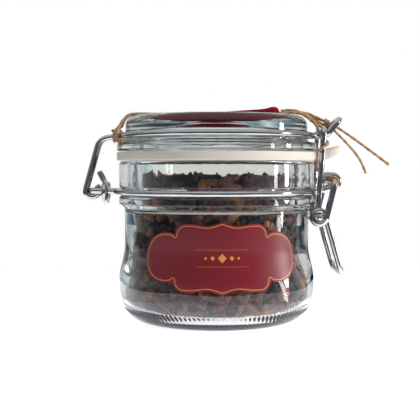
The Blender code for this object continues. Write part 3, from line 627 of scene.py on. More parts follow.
def strand_over_lid(y):
    """A strand's route from the hinge wire up and over the lid to just before the clasp."""
    return [
        (-38.1, y, 77.3), (-37.8, y, 78.5), (-36.9, y, 80.4), (-34.8, y, 82.3), (-31.5, y, 82.75),
        (-22.0, y, 82.6), (-8.0, y * 1.1, 82.75), (6.0, y * 1.2, 82.75), (20.0, y * 1.1, 82.85),
        (30.0, y, 83.3), (35.0, y, 83.2), (39.0, y, 81.9), (43.0, y, 80.0),
    ]


def hinge_wrap_path():
    """Turns round the lid wire's two legs, wider where the legs part."""
    ring = ring_stretch(LID_RING_RADIUS, LID_RING_HEIGHT, 180 + HINGE_LEAVE, 225)
    leg = evenly(chained(lid_wire_leg(), ring), 0.4)
    leg = leg[leg[:, 2] > LID_RING_HEIGHT - 2]
    reach = WIRE_RADIUS + TWINE_RADIUS + WRAP_GAP
    turn = np.linspace(0, WRAP_TURNS, round(WRAP_TURNS * 40))
    x = WRAP_START_X + WRAP_PITCH * turn
    clear = reach**2 - (leg[None, :, 0] - x[:, None]) ** 2
    half_width = np.where(clear > 0, np.sqrt(np.maximum(clear, 0)) - leg[None, :, 1], 0).max(axis=1)
    s, c = np.sin(TAU * turn), np.cos(TAU * turn)
    y = half_width * np.sign(s) * np.sqrt(np.abs(s))
    z = LID_RING_HEIGHT + reach * np.sign(c) * np.sqrt(np.abs(c))
    return np.stack([x, y, z], -1)


def clasp_strand_path():
    """Along the lid, down inside the clasp link, round its near leg, and over the lever's pin."""
    route = [
        (10.0, -2.3, 82.75), (20.0, -2.3, 82.85), (30.0, -2.3, 83.3), (33.6, -2.7, 83.0), (36.6, -4.0, 81.4),
        (38.7, -5.6, 79.1), (39.8, -7.2, 76.8), (40.6, -8.0, 74.4), (41.6, -8.2, 72.9),
    ]
    windings = np.array([
        (90, 72.4), (0, 70.7), (-90, 69.2), (-178, 67.2), (-188, 61.2), (-270, 59.2), (-350, 57.9),
    ])
    reach = WIRE_RADIUS + TWINE_RADIUS + CLASP_GAP
    lean = (LINK_TOP_X - COIL_X) / (LINK_TOP_Z - COIL_Z)
    share = np.linspace(0, len(windings) - 1, 91)
    angles = np.radians(np.interp(share, range(len(windings)), windings[:, 0]))
    z = np.interp(share, range(len(windings)), windings[:, 1])
    leg_x = COIL_X + lean * (z - COIL_Z)
    around = np.stack([leg_x + reach * np.cos(angles), -LINK_Y + reach * np.sin(angles), z], -1)
    turn = np.linspace(80, -190, 40)
    over_pin = np.stack([
        PIVOT_X + reach * np.cos(np.radians(turn)), -PIN_WRAP_Y - 1.4 * (80 - turn) / 360,
        PIVOT_Z + reach * np.sin(np.radians(turn)),
    ], -1)
    return smooth_route(np.concatenate([route, around[::4], over_pin[::4]]), 6)


# Further lengths of the same twine: the loops that hold it at the hinge, and the fan that runs into the tab
LOOSE_LOOPS = (
    [(-38.4, 1.0, 71.9), (-40.4, -2.4, 71.8), (-41.2, -4.1, 73.0), (-40.6, -4.0, 75.4), (-39.2, -2.9, 77.4),
     (-37.8, -2.0, 79.6), (-35.4, -1.9, 82.0), (-31.5, -2.2, 82.7), (-25.0, -2.2, 82.6), (-18.5, -1.9, 82.6)],
    [(-36.4, -5.6, 72.0), (-38.6, -6.9, 71.8), (-40.2, -6.9, 73.0), (-39.9, -6.2, 75.2), (-38.7, -4.9, 77.6),
     (-37.2, -3.9, 79.9), (-34.8, -3.4, 82.1), (-31.0, -3.5, 82.6), (-26.0, -3.3, 82.5)],
    [(-35.7, -9.0, 72.0), (-37.6, -10.4, 71.9), (-39.1, -10.1, 73.3), (-38.9, -8.6, 75.4),
     (-38.2, -6.6, 77.8), (-36.8, -5.0, 80.2), (-34.2, -4.4, 82.0), (-30.4, -4.6, 82.5)],
    [(-38.4, -1.0, 72.1), (-40.4, 2.4, 71.8), (-41.0, 4.0, 73.2), (-40.2, 3.8, 75.6), (-38.6, 2.9, 77.9),
     (-36.9, 2.1, 80.7), (-34.4, 1.9, 82.4), (-30.5, 2.2, 82.7), (-24.0, 2.2, 82.6), (-18.0, 1.9, 82.6)],
)
CLASP_FAN = (
    [(25.5, 2.0, 83.3), (31.0, 2.2, 83.4), (35.6, 1.6, 82.9), (39.6, 0.4, 80.7), (42.6, -0.9, 78.4),
     (45.0, -1.9, 76.7)],
    [(26.0, -0.1, 84.1), (31.0, -0.6, 84.1), (35.6, -1.3, 82.6), (39.0, -2.5, 80.1), (41.9, -2.7, 77.9),
     (44.6, -0.6, 76.5)],
    [(25.5, -3.6, 82.6), (30.5, -3.8, 83.0), (34.6, -4.2, 82.1), (37.4, -5.0, 80.0), (39.9, -4.4, 78.2),
     (43.2, -2.6, 77.0)],
)


def knot_path():
    """Three turns that draw the strands together behind the lifting tab."""
    middle, along = np.array([44.6, -0.6, 78.4]), unit(np.array([0.8, -0.1, -0.6]))
    turn = np.linspace(0, 3, 100)
    side = unit(np.cross(along, (0, 1, 0)))
    up = np.cross(along, side)
    angle = (TAU * turn)[:, None]
    reach = 1.75 + 0.12 * np.sin(angle * 2.3)
    ring = reach * (np.cos(angle) * side * 0.75 + np.sin(angle) * up)
    return middle + along * (1.02 * turn - 1.5)[:, None] + ring


def put_twine(name, path, phase, material, node=None):
    path = evenly(path, TWINE_STEP)
    shape, places = tube(path, TWINE_SIDES, twine_radius(lengths_along(path)[-1], phase))
    return put(name, shape, material, (node,) if node else (), {"strand": places}), path


def hairs(paths, spacing, rng):
    """Thin jute fibres that leave the strands: three-sided, bowed, and tapering to a point."""
    roots, lean = [], []
    for path in paths:
        picks = rng.integers(2, len(path) - 2, int(lengths_along(path)[-1] / spacing))
        roots.append(path[picks] + rng.normal(0, 0.12, (len(picks), 3)))
        lean.append(unit(path[picks + 2] - path[picks - 2]))
    root, lean = np.concatenate(roots), np.concatenate(lean)
    count = len(root)
    out = unit(np.cross(lean, rng.normal(0, 1, (count, 3))))
    length = rng.uniform(0.8, 2.6, (count, 1))
    t = np.linspace(0, 1, 5)[None, :, None]
    along = lean[:, None] * rng.choice([-1, 1], (count, 1, 1))
    line = root[:, None] + length[:, None] * (along * t * 0.9 + out[:, None] * (0.35 + 0.3 * t) * t)
    side = unit(np.cross(lean, out))[:, None]
    thin = 0.035 * (1 - 0.8 * t)
    turns = np.arange(3) * TAU / 3
    c, s = np.cos(turns)[:, None], np.sin(turns)[:, None]
    grid = line[:, :, None] + thin[..., None] * (c * side[:, :, None] + s * out[:, None, None])
    first = grid[0, ..., 0].size * np.arange(count)[:, None]
    sides = (wrapped_quads(5, 3, False)[None] + first[..., None]).reshape(-1, 4)
    return grid.reshape(-1, 3), [sides, first + np.array([[0, 2, 1]]), first + np.array([[12, 13, 14]])]


def make_twine():
    jute = jute_twine()
    strands = []
    for name, node, y, tail, phase in (
        ("twine_long_strand", "twine_long", -STRAND_Y, LONG_TAIL, 0.3),
        ("twine_short_strand", "twine_short", STRAND_Y, SHORT_TAIL, 1.9),
    ):
        piece, path = put_twine(name, smooth_route(strand_over_lid(y) + tail), phase, jute, node)
        strands.append(path)
    strands.append(put_twine("twine_hinge_turns", hinge_wrap_path(), 0.9, jute, "twine_hinge_wrap")[1])
    strands.append(put_twine("twine_clasp_strand", clasp_strand_path(), 2.4, jute, "twine_clasp")[1])
    for number, route in enumerate(LOOSE_LOOPS + CLASP_FAN):
        strands.append(put_twine(f"twine_loop_{number + 1}", smooth_route(route), 0.7 * number, jute)[1])
    strands.append(put_twine("twine_knot", knot_path(), 1.1, jute)[1])
    shape = hairs(strands, FIBRE_SPACING, np.random.default_rng(FIBRE_SEED))
    put("twine_fibres", shape, jute, values={"strand": np.zeros((len(shape[0]), 2))})


# Glass

def eased(z, z0, z1, low, high):
    """A smooth change from low at z0 to high at z1."""
    t = np.clip((z - z0) / (z1 - z0), 0, 1)
    return low + (high - low) * (0.5 - 0.5 * np.cos(math.pi * t))


def outer_radius(z):
    """The jar's outer radius from its heel to its waist."""
    z = np.asarray(z, float)
    heel = np.sqrt(np.clip(1 - (1 - z / BELLY_HEIGHT) ** 2, 0, 1))
    upper = eased(z, BELLY_HEIGHT, WAIST_BOTTOM, BELLY_RADIUS, WAIST_RADIUS)
    return np.where(z < BELLY_HEIGHT, FOOT_RADIUS + (BELLY_RADIUS - FOOT_RADIUS) * heel, upper)


def quarter(start_radius, end_radius, start_height, end_height, count):
    """A quarter of an ellipse from flat to upright."""
    a = np.linspace(0, math.pi / 2, count)
    radius = start_radius + (end_radius - start_radius) * np.sin(a)
    return np.stack([radius, start_height + (end_height - start_height) * (1 - np.cos(a))], -1)


def inner_outline():
    """The hollow, from the middle of its floor up to the mouth."""
    heel = quarter(FLOOR_RADIUS, INNER_HEEL_RADIUS, FLOOR, INNER_HEEL_HEIGHT, 13)
    z = np.linspace(INNER_HEEL_HEIGHT, WAIST_BOTTOM, 14)[1:]
    wall_radius = eased(z, INNER_HEEL_HEIGHT, WAIST_BOTTOM, INNER_HEEL_RADIUS, WAIST_RADIUS - WALL)
    wall = np.stack([wall_radius, z], -1)
    neck = rounded(
        [(WAIST_RADIUS - WALL, SHOULDER_BOTTOM - 5), (WAIST_RADIUS - WALL, SHOULDER_BOTTOM),
         (MOUTH_RADIUS, MOUTH_BOTTOM), (MOUTH_RADIUS, RIM_TOP - 0.6)],
        {1: 0.9, 2: 1.2},
    )
    return np.concatenate([[(0, FLOOR)], [(FLOOR_RADIUS / 2, FLOOR)], heel, wall, neck])


def jar_outline():
    """From the middle of the underside, out over the foot, up the outside, over the rim and down inside."""
    punt_steps = np.linspace(0, 1, 6)[1:]
    punt = np.stack([PUNT_RADIUS * punt_steps, PUNT_RISE * (1 + np.cos(math.pi * punt_steps)) / 2], -1)
    heel = quarter(FOOT_RADIUS, BELLY_RADIUS, 0, BELLY_HEIGHT, 29)
    z = np.linspace(BELLY_HEIGHT, WAIST_BOTTOM, 13)[1:]
    belly = np.stack([outer_radius(z), z], -1)
    neck = rounded(
        [(WAIST_RADIUS, WAIST_BOTTOM + 3), (WAIST_RADIUS, WAIST_TOP), (BEAD_RADIUS, BEAD_BOTTOM - 0.6),
         (BEAD_RADIUS, BEAD_TOP), (NECK_GROOVE_RADIUS, NECK_RING_HEIGHT - 1.2),
         (NECK_GROOVE_RADIUS, NECK_RING_HEIGHT + 1.0), (RIM_RADIUS, RIM_BOTTOM), (RIM_RADIUS, RIM_TOP),
         (MOUTH_RADIUS + 0.6, RIM_TOP)],
        {1: 0.9, 2: 1.2, 3: 1.2, 4: 0.8, 5: 0.8, 6: 1.0, 7: 1.3},
    )
    inside = inner_outline()[::-1]
    return np.concatenate([[(0, PUNT_RISE)], punt, heel, belly, neck, inside])


def jar_waves(angles, radii, heights):
    """Faint waves that pressing leaves in the wall inside, calmer in the neck, and the knurled ring outside.

    The waves are a sum of sines of the angle and the height. The ring adds
    depth * sin(knurls * angle + 2 height) * exp(-((height - middle) / spread)^2) to the heel's radius.
    """
    outer = radii > outer_radius(np.clip(heights, 0.01, WAIST_BOTTOM)) - 1.2
    waves = np.sin(3 * angles + heights * 0.11) + 0.8 * np.sin(7 * angles - heights * 0.21 + 1.3)
    waves = waves + 0.6 * np.sin(12 * angles + heights * 0.34 + 0.4)
    waves = waves + 0.4 * np.sin(heights * 0.9 + 2 * angles)
    calm = np.where(heights > SHOULDER_BOTTOM, 0.25, 1.0)
    inside = (~outer) * np.clip((heights - FLOOR) / 6, 0, 1) * (heights < RIM_TOP - 2)
    ring = np.exp(-((heights - KNURL_HEIGHT) / KNURL_SPREAD) ** 2) * (radii > outer_radius(heights) - 0.3)
    knurls = KNURL_DEPTH * ring * np.sin(KNURLS * angles + 2.0 * heights) * (heights < BELLY_HEIGHT)
    return WALL_WAVES * waves * inside * calm + knurls


def make_jar():
    shape = turned(jar_outline(), JAR_COLUMNS, jar_waves, JAR_LONG_EDGE)
    put("jar_body", shape, bottle_glass("soda_lime_glass", "#e4eeeb", 8.0), ("jar_glass",))


def lid_waves(angles, radii, heights):
    """Faint ripples in the pressed hollow of the lid."""
    inside = (radii < LID_RECESS_RADIUS + 0.1) & (heights < LID_TOP - 1)
    ripple = np.sin(5 * angles + radii * 0.2) + 0.6 * np.sin(11 * angles + heights * 0.5)
    return LID_RIPPLE * ripple * inside * np.clip(radii / 10, 0, 1)


def make_lid():
    shoulder = LID_BODY_RADIUS - LID_TOP_RADIUS
    outline = rounded(
        [(0, LID_TOP), (20, LID_TOP), (LID_BODY_RADIUS, LID_TOP), (LID_BODY_RADIUS, FLANGE_TOP + 0.6),
         (FLANGE_RADIUS, FLANGE_TOP), (FLANGE_RADIUS, LID_BOTTOM), (PLUG_RADIUS, LID_BOTTOM),
         (PLUG_RADIUS, PLUG_BOTTOM), (LID_RECESS_RADIUS, PLUG_BOTTOM), (LID_RECESS_RADIUS, LID_RECESS_TOP),
         (LID_RECESS_RADIUS - 3.0, LID_RECESS_TOP)],
        {2: shoulder, 3: 1.2, 4: 1.3, 5: 0.9, 6: 0.6, 7: 0.9, 8: 0.9, 9: 2.0},
        math.radians(8),
    )
    across = np.linspace(1, 0, 16)[1:, None]
    roof = np.concatenate([
        outline[-1, 0] * across, LID_RECESS_TOP + LID_RECESS_DOME * (1 + np.cos(math.pi * across)) / 2,
    ], axis=1)
    shape = turned(np.concatenate([outline, roof])[::-1], LID_COLUMNS, lid_waves)
    put("lid_body", shape, bottle_glass("pressed_lid_glass", "#d4e6dc", 9.0), ("lid_glass",))


# Gasket

def make_gasket():
    """A flat ring whose outer edge runs out into the pull tab at the clasp."""
    low, high = GASKET_LOW[2], GASKET_LOW[2] + GASKET_THICKNESS
    section = rounded(
        [(GASKET_INNER + 3, low), (GASKET_OUTER, low), (GASKET_OUTER, high), (GASKET_INNER, high),
         (GASKET_INNER, low), (GASKET_INNER + 2.9, low)],
        dict.fromkeys((1, 2, 3, 4), GASKET_CORNER), math.radians(30),
    )
    points, faces = turned(section, GASKET_COLUMNS)
    angle = np.arctan2(points[:, 1], points[:, 0])
    radius = np.hypot(points[:, 0], points[:, 1])
    edge = np.clip((radius - GASKET_OUTER) / GASKET_EDGE + 1, 0, 1)
    half_angle = GASKET_TAB_HALF_WIDTH / GASKET_OUTER
    inside = np.clip((half_angle - np.abs(angle)) / (0.8 / GASKET_OUTER), 0, 1)
    inside = inside * inside * (3 - 2 * inside)
    reach = GASKET_TAB_END - np.sqrt(np.maximum(GASKET_OUTER**2 - points[:, 1] ** 2, 0))
    points[:, 0] += reach * inside * edge
    out = np.clip((points[:, 0] - GASKET_OUTER) / (GASKET_TAB_END - GASKET_OUTER), 0, 1)
    points[:, 2] += GASKET_TAB_RISE * out * inside
    put("gasket_ring", (points, faces), moulded_rubber(), ("gasket",))


# Labels

def plaque_height(u):
    """Half the label's height at u from its middle: a peak, a shoulder, then a round lobe."""
    u = np.abs(u)
    share = (u - LOBE_MIDDLE) / (LABEL_HALF_WIDTH - LOBE_MIDDLE)
    lobe = LOBE_HEIGHT * np.sqrt(np.clip(1 - share**2, 0, 1))
    peak = (LABEL_PEAK - LABEL_DIP) * (1 - np.sin(np.clip(u / 6.5, 0, 1) * math.pi / 2))
    rise = eased(u, 5.0, 12.0, 0.0, LABEL_SHOULDER - LABEL_DIP)
    past_corner = np.clip(u - LABEL_NOTCH + LABEL_CORNER, 0, LABEL_CORNER)
    corner = LABEL_CORNER - np.sqrt(LABEL_CORNER**2 - past_corner**2)
    return np.where(u >= LABEL_NOTCH, lobe, LABEL_DIP + peak + rise - corner)


def paper(upper, lower):
    """A closed sheet of two grids (columns, rows, 3): one face up, one down, joined round their edges."""
    columns, rows = upper.shape[:2]
    i, j = np.meshgrid(np.arange(columns - 1), np.arange(rows - 1), indexing="ij")
    corners = [i * rows + j, (i + 1) * rows + j, (i + 1) * rows + j + 1, i * rows + j + 1]
    top = np.stack(corners, -1).reshape(-1, 4)
    size = columns * rows
    rim = np.concatenate([
        np.arange(columns) * rows, (columns - 1) * rows + np.arange(1, rows),
        np.arange(columns - 2, -1, -1) * rows + rows - 1, np.arange(rows - 2, 0, -1),
    ])
    after = np.roll(rim, -1)
    edge = np.stack([rim + size, after + size, after, rim], -1)
    return np.concatenate([upper.reshape(-1, 3), lower.reshape(-1, 3)]), [top, top[:, ::-1] + size, edge]


def edge_distance(u, v, outline):
    """How far each point of the flat label lies from its outline."""
    flat = np.stack([u, v], -1).reshape(-1, 2).astype(np.float32)
    parts = np.array_split(flat, 24)
    return np.concatenate([np.sqrt(((part[:, None] - outline) ** 2).sum(-1)).min(1) for part in parts])


def make_front_label():
    """The printed label, bent round the belly. Its outline's distance is kept for the gold border line."""
    half = np.concatenate([
        np.linspace(0, LABEL_NOTCH - 0.01, 90), np.linspace(LABEL_NOTCH + 0.01, LABEL_HALF_WIDTH - 1, 60),
        LABEL_HALF_WIDTH - 1 + np.sin(np.linspace(0, math.pi / 2, 16)[1:]) * 0.995,
    ])
    columns = np.concatenate([-half[:0:-1], half])
    share = np.sin(np.linspace(-1, 1, 71) * math.pi / 2)
    u = np.repeat(columns[:, None], len(share), axis=1)
    v = np.maximum(plaque_height(columns), 0.05)[:, None] * share[None]
    angle = LABEL_TURN + u / (WAIST_RADIUS + 1.0)
    z = LABEL_MIDDLE_Z + v
    sheets = []
    for lift in (PAPER_THICKNESS, -SUNK_IN_JAR):
        radius = outer_radius(z) + lift
        sheets.append(np.stack([radius * np.sin(angle), -radius * np.cos(angle), z], -1))
    fine = np.linspace(-LABEL_HALF_WIDTH, LABEL_HALF_WIDTH, 1801)
    tall = plaque_height(fine)
    side = np.linspace(*sorted(plaque_height(np.array([LABEL_NOTCH, LABEL_NOTCH - 0.001]))), 60)
    outline = np.concatenate([
        np.stack([fine, tall], -1), np.stack([fine, -tall], -1),
        *[np.stack([np.full(60, x), s * side], -1) for x in (-LABEL_NOTCH, LABEL_NOTCH) for s in (-1, 1)],
    ]).astype(np.float32)
    distance = edge_distance(u, v, outline)
    flat = np.stack([u, v], -1).reshape(-1, 2)
    values = {"edge": np.concatenate([distance, distance * 0]), "print": np.concatenate([flat, flat])}
    material = printed_paper("crimson_label_paper", ("#5c0714", "#7a0f1f"), 0.4, 0.5)
    put("front_label_paper", paper(*sheets), material, ("front_label",), values)


def make_lid_label():
    """The paper on the lid, with a near edge that lifts and a right corner that curls.

    The edge lifts as near^2 * (along^0.6 + a narrow buckle at the left). The corner rises with the square of
    the distance past a slanting line. Nothing is printed on it, so its print coordinates start far from the
    pattern.
    """
    corner = LID_LABEL_CORNER
    turn = np.linspace(0, math.pi / 2, 10)[:-1]
    left, right = LID_LABEL_LEFT + corner, LID_LABEL_RIGHT - corner
    columns = np.concatenate([
        left - corner * np.cos(turn), np.linspace(left, right, 60), (right + corner * np.cos(turn))[::-1],
    ])
    into = np.maximum(0, np.maximum(left - columns, columns - right))
    half_depth = LID_LABEL_HALF_DEPTH - corner + np.sqrt(corner**2 - into**2)
    x = np.repeat(columns[:, None], 41, axis=1)
    y = half_depth[:, None] * np.linspace(-1, 1, 41)[None]
    near = np.clip((-y - LIFT_START_Y) / (LID_LABEL_HALF_DEPTH - LIFT_START_Y), 0, None) ** 2
    along = np.clip((x - LIFT_START_X) / (LID_LABEL_RIGHT - LIFT_START_X), 0, 1)
    along = along**0.6 + BUCKLE_SHARE * np.exp(-((x - BUCKLE_X) / BUCKLE_SPREAD) ** 2)
    curled = np.clip((x - CORNER_SLANT * y - CORNER_FROM) / CORNER_SPAN, 0, None) ** 2
    rise = np.minimum(near * along * LID_LABEL_LIFT + curled * LID_LABEL_CURL, LID_LABEL_HIGHEST)
    sheets = [np.stack([x, y, LID_TOP + lift + rise], -1) for lift in (PAPER_THICKNESS, -SUNK_IN_LID)]
    flat = np.stack([x, y], -1).reshape(-1, 2) + UNPRINTED
    values = {"edge": np.full(2 * len(flat), UNPRINTED), "print": np.concatenate([flat, flat])}
    # Lighter reds than the jar label's paper: painted light, standing in for the light its underside lacks
    # under the lid glass.
    material = printed_paper("crimson_lid_paper_painted_lighter", ("#9c2338", "#b32b42"), 0.0, 0.0)
    put("lid_label_paper", paper(*sheets), material, ("lid_label",), values)


# Cloves

def inner_radius(z):
    """The hollow's radius at each height."""
    outline = inner_outline()[2:]
    return np.interp(z, outline[:, 1], outline[:, 0])


def heap_height(radius):
    """The top of the heap: a low dome that falls with the square of the radius."""
    return HEAP_CROWN - (HEAP_CROWN - HEAP_EDGE) * (radius / MOUTH_RADIUS) ** 2


def near_pairs(beads, radii, owner, margin):
    """Pairs of beads of different cloves that lie close, found for a block of beads at a time."""
    pairs = []
    for block in np.array_split(np.arange(len(beads)), 12):
        gap = np.linalg.norm(beads[block, None] - beads, axis=2)
        near = (gap < radii[block, None] + radii + margin) & (owner[block, None] < owner)
        a, b = np.nonzero(near)
        pairs.append(np.stack([block[a], b], -1))
    return np.concatenate(pairs)


def settled_cloves(count, rng):
    """Middles and directions of cloves packed into the shell behind the glass.

    Each clove is four beads on a rod. Beads that overlap push each other apart, the glass, the floor and the
    heap's top hold them in, and each rod is then laid through its beads again.
    """
    height = rng.uniform(FLOOR + 1, HEAP_EDGE + 2, 6 * count)
    reach = np.sqrt(rng.uniform(0, 1, 6 * count)) * inner_radius(height)
    shell = (reach > inner_radius(height) - SHELL_DEPTH) | (height > HEAP_EDGE - 5)
    height, reach = height[shell][:count], reach[shell][:count]
    around = rng.uniform(0, TAU, count)
    middle = spoke(reach, around, height)
    lie = unit(rng.normal(0, 1, (count, 3)) * (1, 1, 0.8))
    size = rng.uniform(0.86, 1.1, count)
    outward = spoke(1, around, 0)
    lie = unit(lie - 0.8 * outward * np.sum(lie * outward, -1, keepdims=True))
    offsets = size[:, None] * BEADS[None]
    radii = (size[:, None] * BEAD_RADII[None]).reshape(-1)
    owner = np.repeat(np.arange(count), 4)
    for step in range(SETTLING_STEPS):
        beads = (middle[:, None] + offsets[..., None] * lie[:, None]).reshape(-1, 3)
        if step % PAIRING_EVERY == 0:
            a, b = near_pairs(beads, radii, owner, PAIRING_MARGIN).T
        apart = beads[a] - beads[b]
        gap = np.linalg.norm(apart, axis=1)
        push = np.clip(radii[a] + radii[b] - gap, 0, None) * SHOVE_SHARE
        shove = apart / np.maximum(gap, 1e-6)[:, None] * push[:, None]
        for axis in range(3):
            given, taken = (np.bincount(which, shove[:, axis], len(beads)) for which in (a, b))
            beads[:, axis] += given - taken
        beads[:, 2] -= FALL
        beads[:, :2] *= OUTWARD
        flat = np.hypot(beads[:, 0], beads[:, 1])
        allowed = inner_radius(beads[:, 2]) - radii - WALL_GAP
        scale = np.minimum(1, allowed / np.maximum(flat, 1e-6))
        beads[:, :2] *= scale[:, None]
        beads[:, 2] = np.clip(beads[:, 2], FLOOR + 0.2 + radii, heap_height(flat) - 0.5 * radii + TOP_GIVE)
        beads = beads.reshape(count, 4, 3)
        middle = beads.mean(axis=1) - lie * offsets.mean(axis=1)[:, None]
        spread = offsets - offsets.mean(axis=1, keepdims=True)
        lie = unit(np.sum(spread[..., None] * (beads - beads.mean(axis=1, keepdims=True)), axis=1))
    return middle, lie, size


def clove_shape(bud, spread, stem, seed):
    """One clove along +Z: a wrinkled, squarish stem, four pointed sepals, and the round bud if it has one.

    bud is the bud's radius, spread how far the sepals reach, and stem scales the stem's thickness.
    Returns points, faces and each point's ripeness: 0 at the tail, 1 on the bud.
    """
    rng = np.random.default_rng(seed)
    top = CLOVE_LENGTH / 2
    # The stem's radius, how far a sepal stands out from it, and the height above the tail
    profile = np.array([
        (0.35, 0.0, 0.0), (0.78, 0.0, 0.12), (1.0, 0.0, 0.9), (1.14, 0.0, 2.3), (1.2, 0.0, 3.9),
        (1.32, 0.0, 5.4), (1.46, 0.0, 6.9), (1.62, 0.0, 8.2), (1.72, 0.10, 9.0), (1.78, 0.45, 9.6),
        (1.74, 0.95, 10.2), (1.6, 1.30, 10.75), (1.5, 1.42, 11.05), (1.4, 1.15, 11.15), (1.3, 0.6, 10.95),
        (1.1, 0.1, 10.6),
    ])
    angles = np.arange(STEM_TURNS) * TAU / STEM_TURNS
    lobes = ((1 + np.cos(4 * angles)) / 2) ** 2.2
    base, flare, height = (profile[:, i:i + 1] for i in range(3))
    squarish = 1 + 0.07 * np.cos(4 * angles)[None]
    phase = rng.uniform(0, TAU, 3)
    wrinkles = 0.075 * np.sin(7 * angles[None] + phase[0] + height * 0.5)
    wrinkles = wrinkles + 0.05 * np.sin(3 * angles[None] - height * 1.6 + phase[1])
    wrinkles = wrinkles + 0.05 * np.sin(height * 2.7 + phase[2] + angles[None])
    radii = base * stem * squarish * (1 + wrinkles) + flare * spread * lobes[None]
    droop = 0.5 * flare * lobes[None] * rng.uniform(-0.6, 0.8, STEM_TURNS)[None]
    grid = spoke(radii, angles, height - top + droop)
    body = skin(grid, first_pole=(0, 0, -top), last_pole=(0, 0, 10.5 - top))
    ripe = np.concatenate([np.clip((grid[..., 2] + top - 8.4) / 5, 0, 0.55).reshape(-1), [0.0, 0.4]])
    if bud == 0:
        return body[0], body[1], ripe
    tilt = np.linspace(-0.42 * math.pi, 0.42 * math.pi, 7)[:, None]
    turn = np.arange(BUD_TURNS)[None] * TAU / BUD_TURNS
    seams = 1 - 0.10 * np.abs(np.cos(2 * turn + 0.5 * tilt)) ** 3 + 0.03 * np.sin(5 * turn + phase[0])
    ball = bud * seams
    centre = 10.75 + 0.78 * bud - top
    dome = spoke(ball * np.cos(tilt), turn, centre + 0.92 * ball * np.sin(tilt))
    head = skin(dome, first_pole=(0, 0, centre - 0.9 * bud), last_pole=(0, 0, centre + 0.9 * bud))
    points, faces = joined([body, head])
    return points, faces, np.concatenate([ripe, np.ones(len(head[0]))])


def placed(points, faces, ripe, middle, lie, size, rng):
    """Copies of one clove at many places: each bent a little, turned about itself and laid along its lie."""
    count = len(middle)
    spin = rng.uniform(0, TAU, count)
    helper = np.where(np.abs(lie[:, 2:]) < 0.9, np.array([[0, 0, 1.0]]), np.array([[1.0, 0, 0]]))
    side = unit(np.cross(helper, lie))
    up = np.cross(lie, side)
    across = side * np.cos(spin)[:, None] + up * np.sin(spin)[:, None]
    upward = np.cross(lie, across)
    bend = rng.uniform(-0.014, 0.014, (count, 1))
    thick = rng.uniform(0.9, 1.1, (count, 1))
    x = points[None, :, 0] * thick + bend * points[None, :, 2] ** 2
    y = points[None, :, 1] * thick
    z = np.broadcast_to(points[None, :, 2], x.shape)
    local = size[:, None, None] * (
        x[..., None] * across[:, None] + y[..., None] * upward[:, None] + z[..., None] * lie[:, None]
    )
    everywhere = (middle[:, None] + local).reshape(-1, 3)
    starts = len(points) * np.arange(count)
    blocks = [(b[None] + starts[:, None, None]).reshape(-1, b.shape[1]) for b in faces]
    tone = np.repeat(rng.uniform(0, 1, count), len(points))
    return (everywhere, blocks), {"ripe": np.tile(ripe, count), "tone": tone}


def kept_inside(shape):
    """Eases any point near the glass back inside it: r' = a - c exp((a - c - r) / c) beyond a - c.

    a is the radius allowed, and c the width that it eases over.
    """
    points, faces = shape
    flat = np.hypot(points[:, 0], points[:, 1])
    allowed = inner_radius(points[:, 2]) - EASED_CLEAR
    soft = EASED_OVER
    eased_in = allowed - soft * np.exp(np.minimum(0, (allowed - soft - flat) / soft))
    points[:, :2] *= np.where(flat > allowed - soft, eased_in / np.maximum(flat, 1e-6), 1.0)[:, None]
    points[:, 2] = np.maximum(points[:, 2], FLOOR + 0.1)
    return points, faces


def core_lumps(angles, radii, heights):
    """The core's lumps: the product of two waves that cross."""
    return CORE_LUMPS * np.sin(9 * angles + heights * 0.7) * np.sin(5 * angles - heights * 0.4)


def make_cloves():
    """Four forms of clove, each a share of the settled ones, and a lumpy core for the inside of the heap, in
    the darkest stem colour as painted shade.
    """
    rng = np.random.default_rng(CLOVE_SEED)
    middle, lie, size = settled_cloves(CLOVE_COUNT, rng)
    bark = dried_bud()
    kinds = (
        ("cloves_budded", (1.95, 1.0, 1.0, 1), 0.42),
        ("cloves_small_budded", (1.45, 1.15, 0.92, 2), 0.24),
        ("cloves_open", (0, 1.25, 1.0, 3), 0.20),
        ("cloves_slim", (1.7, 0.8, 0.8, 4), 0.14),
    )
    order = rng.permutation(CLOVE_COUNT)
    start = 0
    for name, form, share in kinds:
        mine = order[start:start + round(share * CLOVE_COUNT)]
        start += len(mine)
        shape, values = placed(*clove_shape(*form), middle[mine], lie[mine], size[mine], rng)
        put(name, kept_inside(shape), bark, values=values)

    z = np.array([FLOOR + 1.2, 9, 14, 22, 31, 40, 47, HEAP_EDGE - 4.5])
    outline = np.concatenate([
        [(0, FLOOR + 1.2)], np.stack([np.minimum(inner_radius(z), inner_radius(z + 2)) - CORE_INSET, z], -1),
        [(18, HEAP_EDGE - 3.4), (0, HEAP_CROWN - 5.0)],
    ])
    shape = turned(rounded(outline, dict.fromkeys(range(2, len(outline) - 1), 1.5)), CORE_COLUMNS, core_lumps)
    size = len(shape[0])
    # The core gets tone 0 and no ripeness, the darkest stem colour: painted shade for the deep gaps between
    # the cloves.
    put("cloves_core", shape, bark, ("cloves",), {"ripe": np.zeros(size), "tone": np.zeros(size)})


# Materials

def start_material(name):
    material = bpy.data.materials.new(name)
    material.use_nodes = True
    tree = material.node_tree
    tree.nodes.clear()
    return material, tree


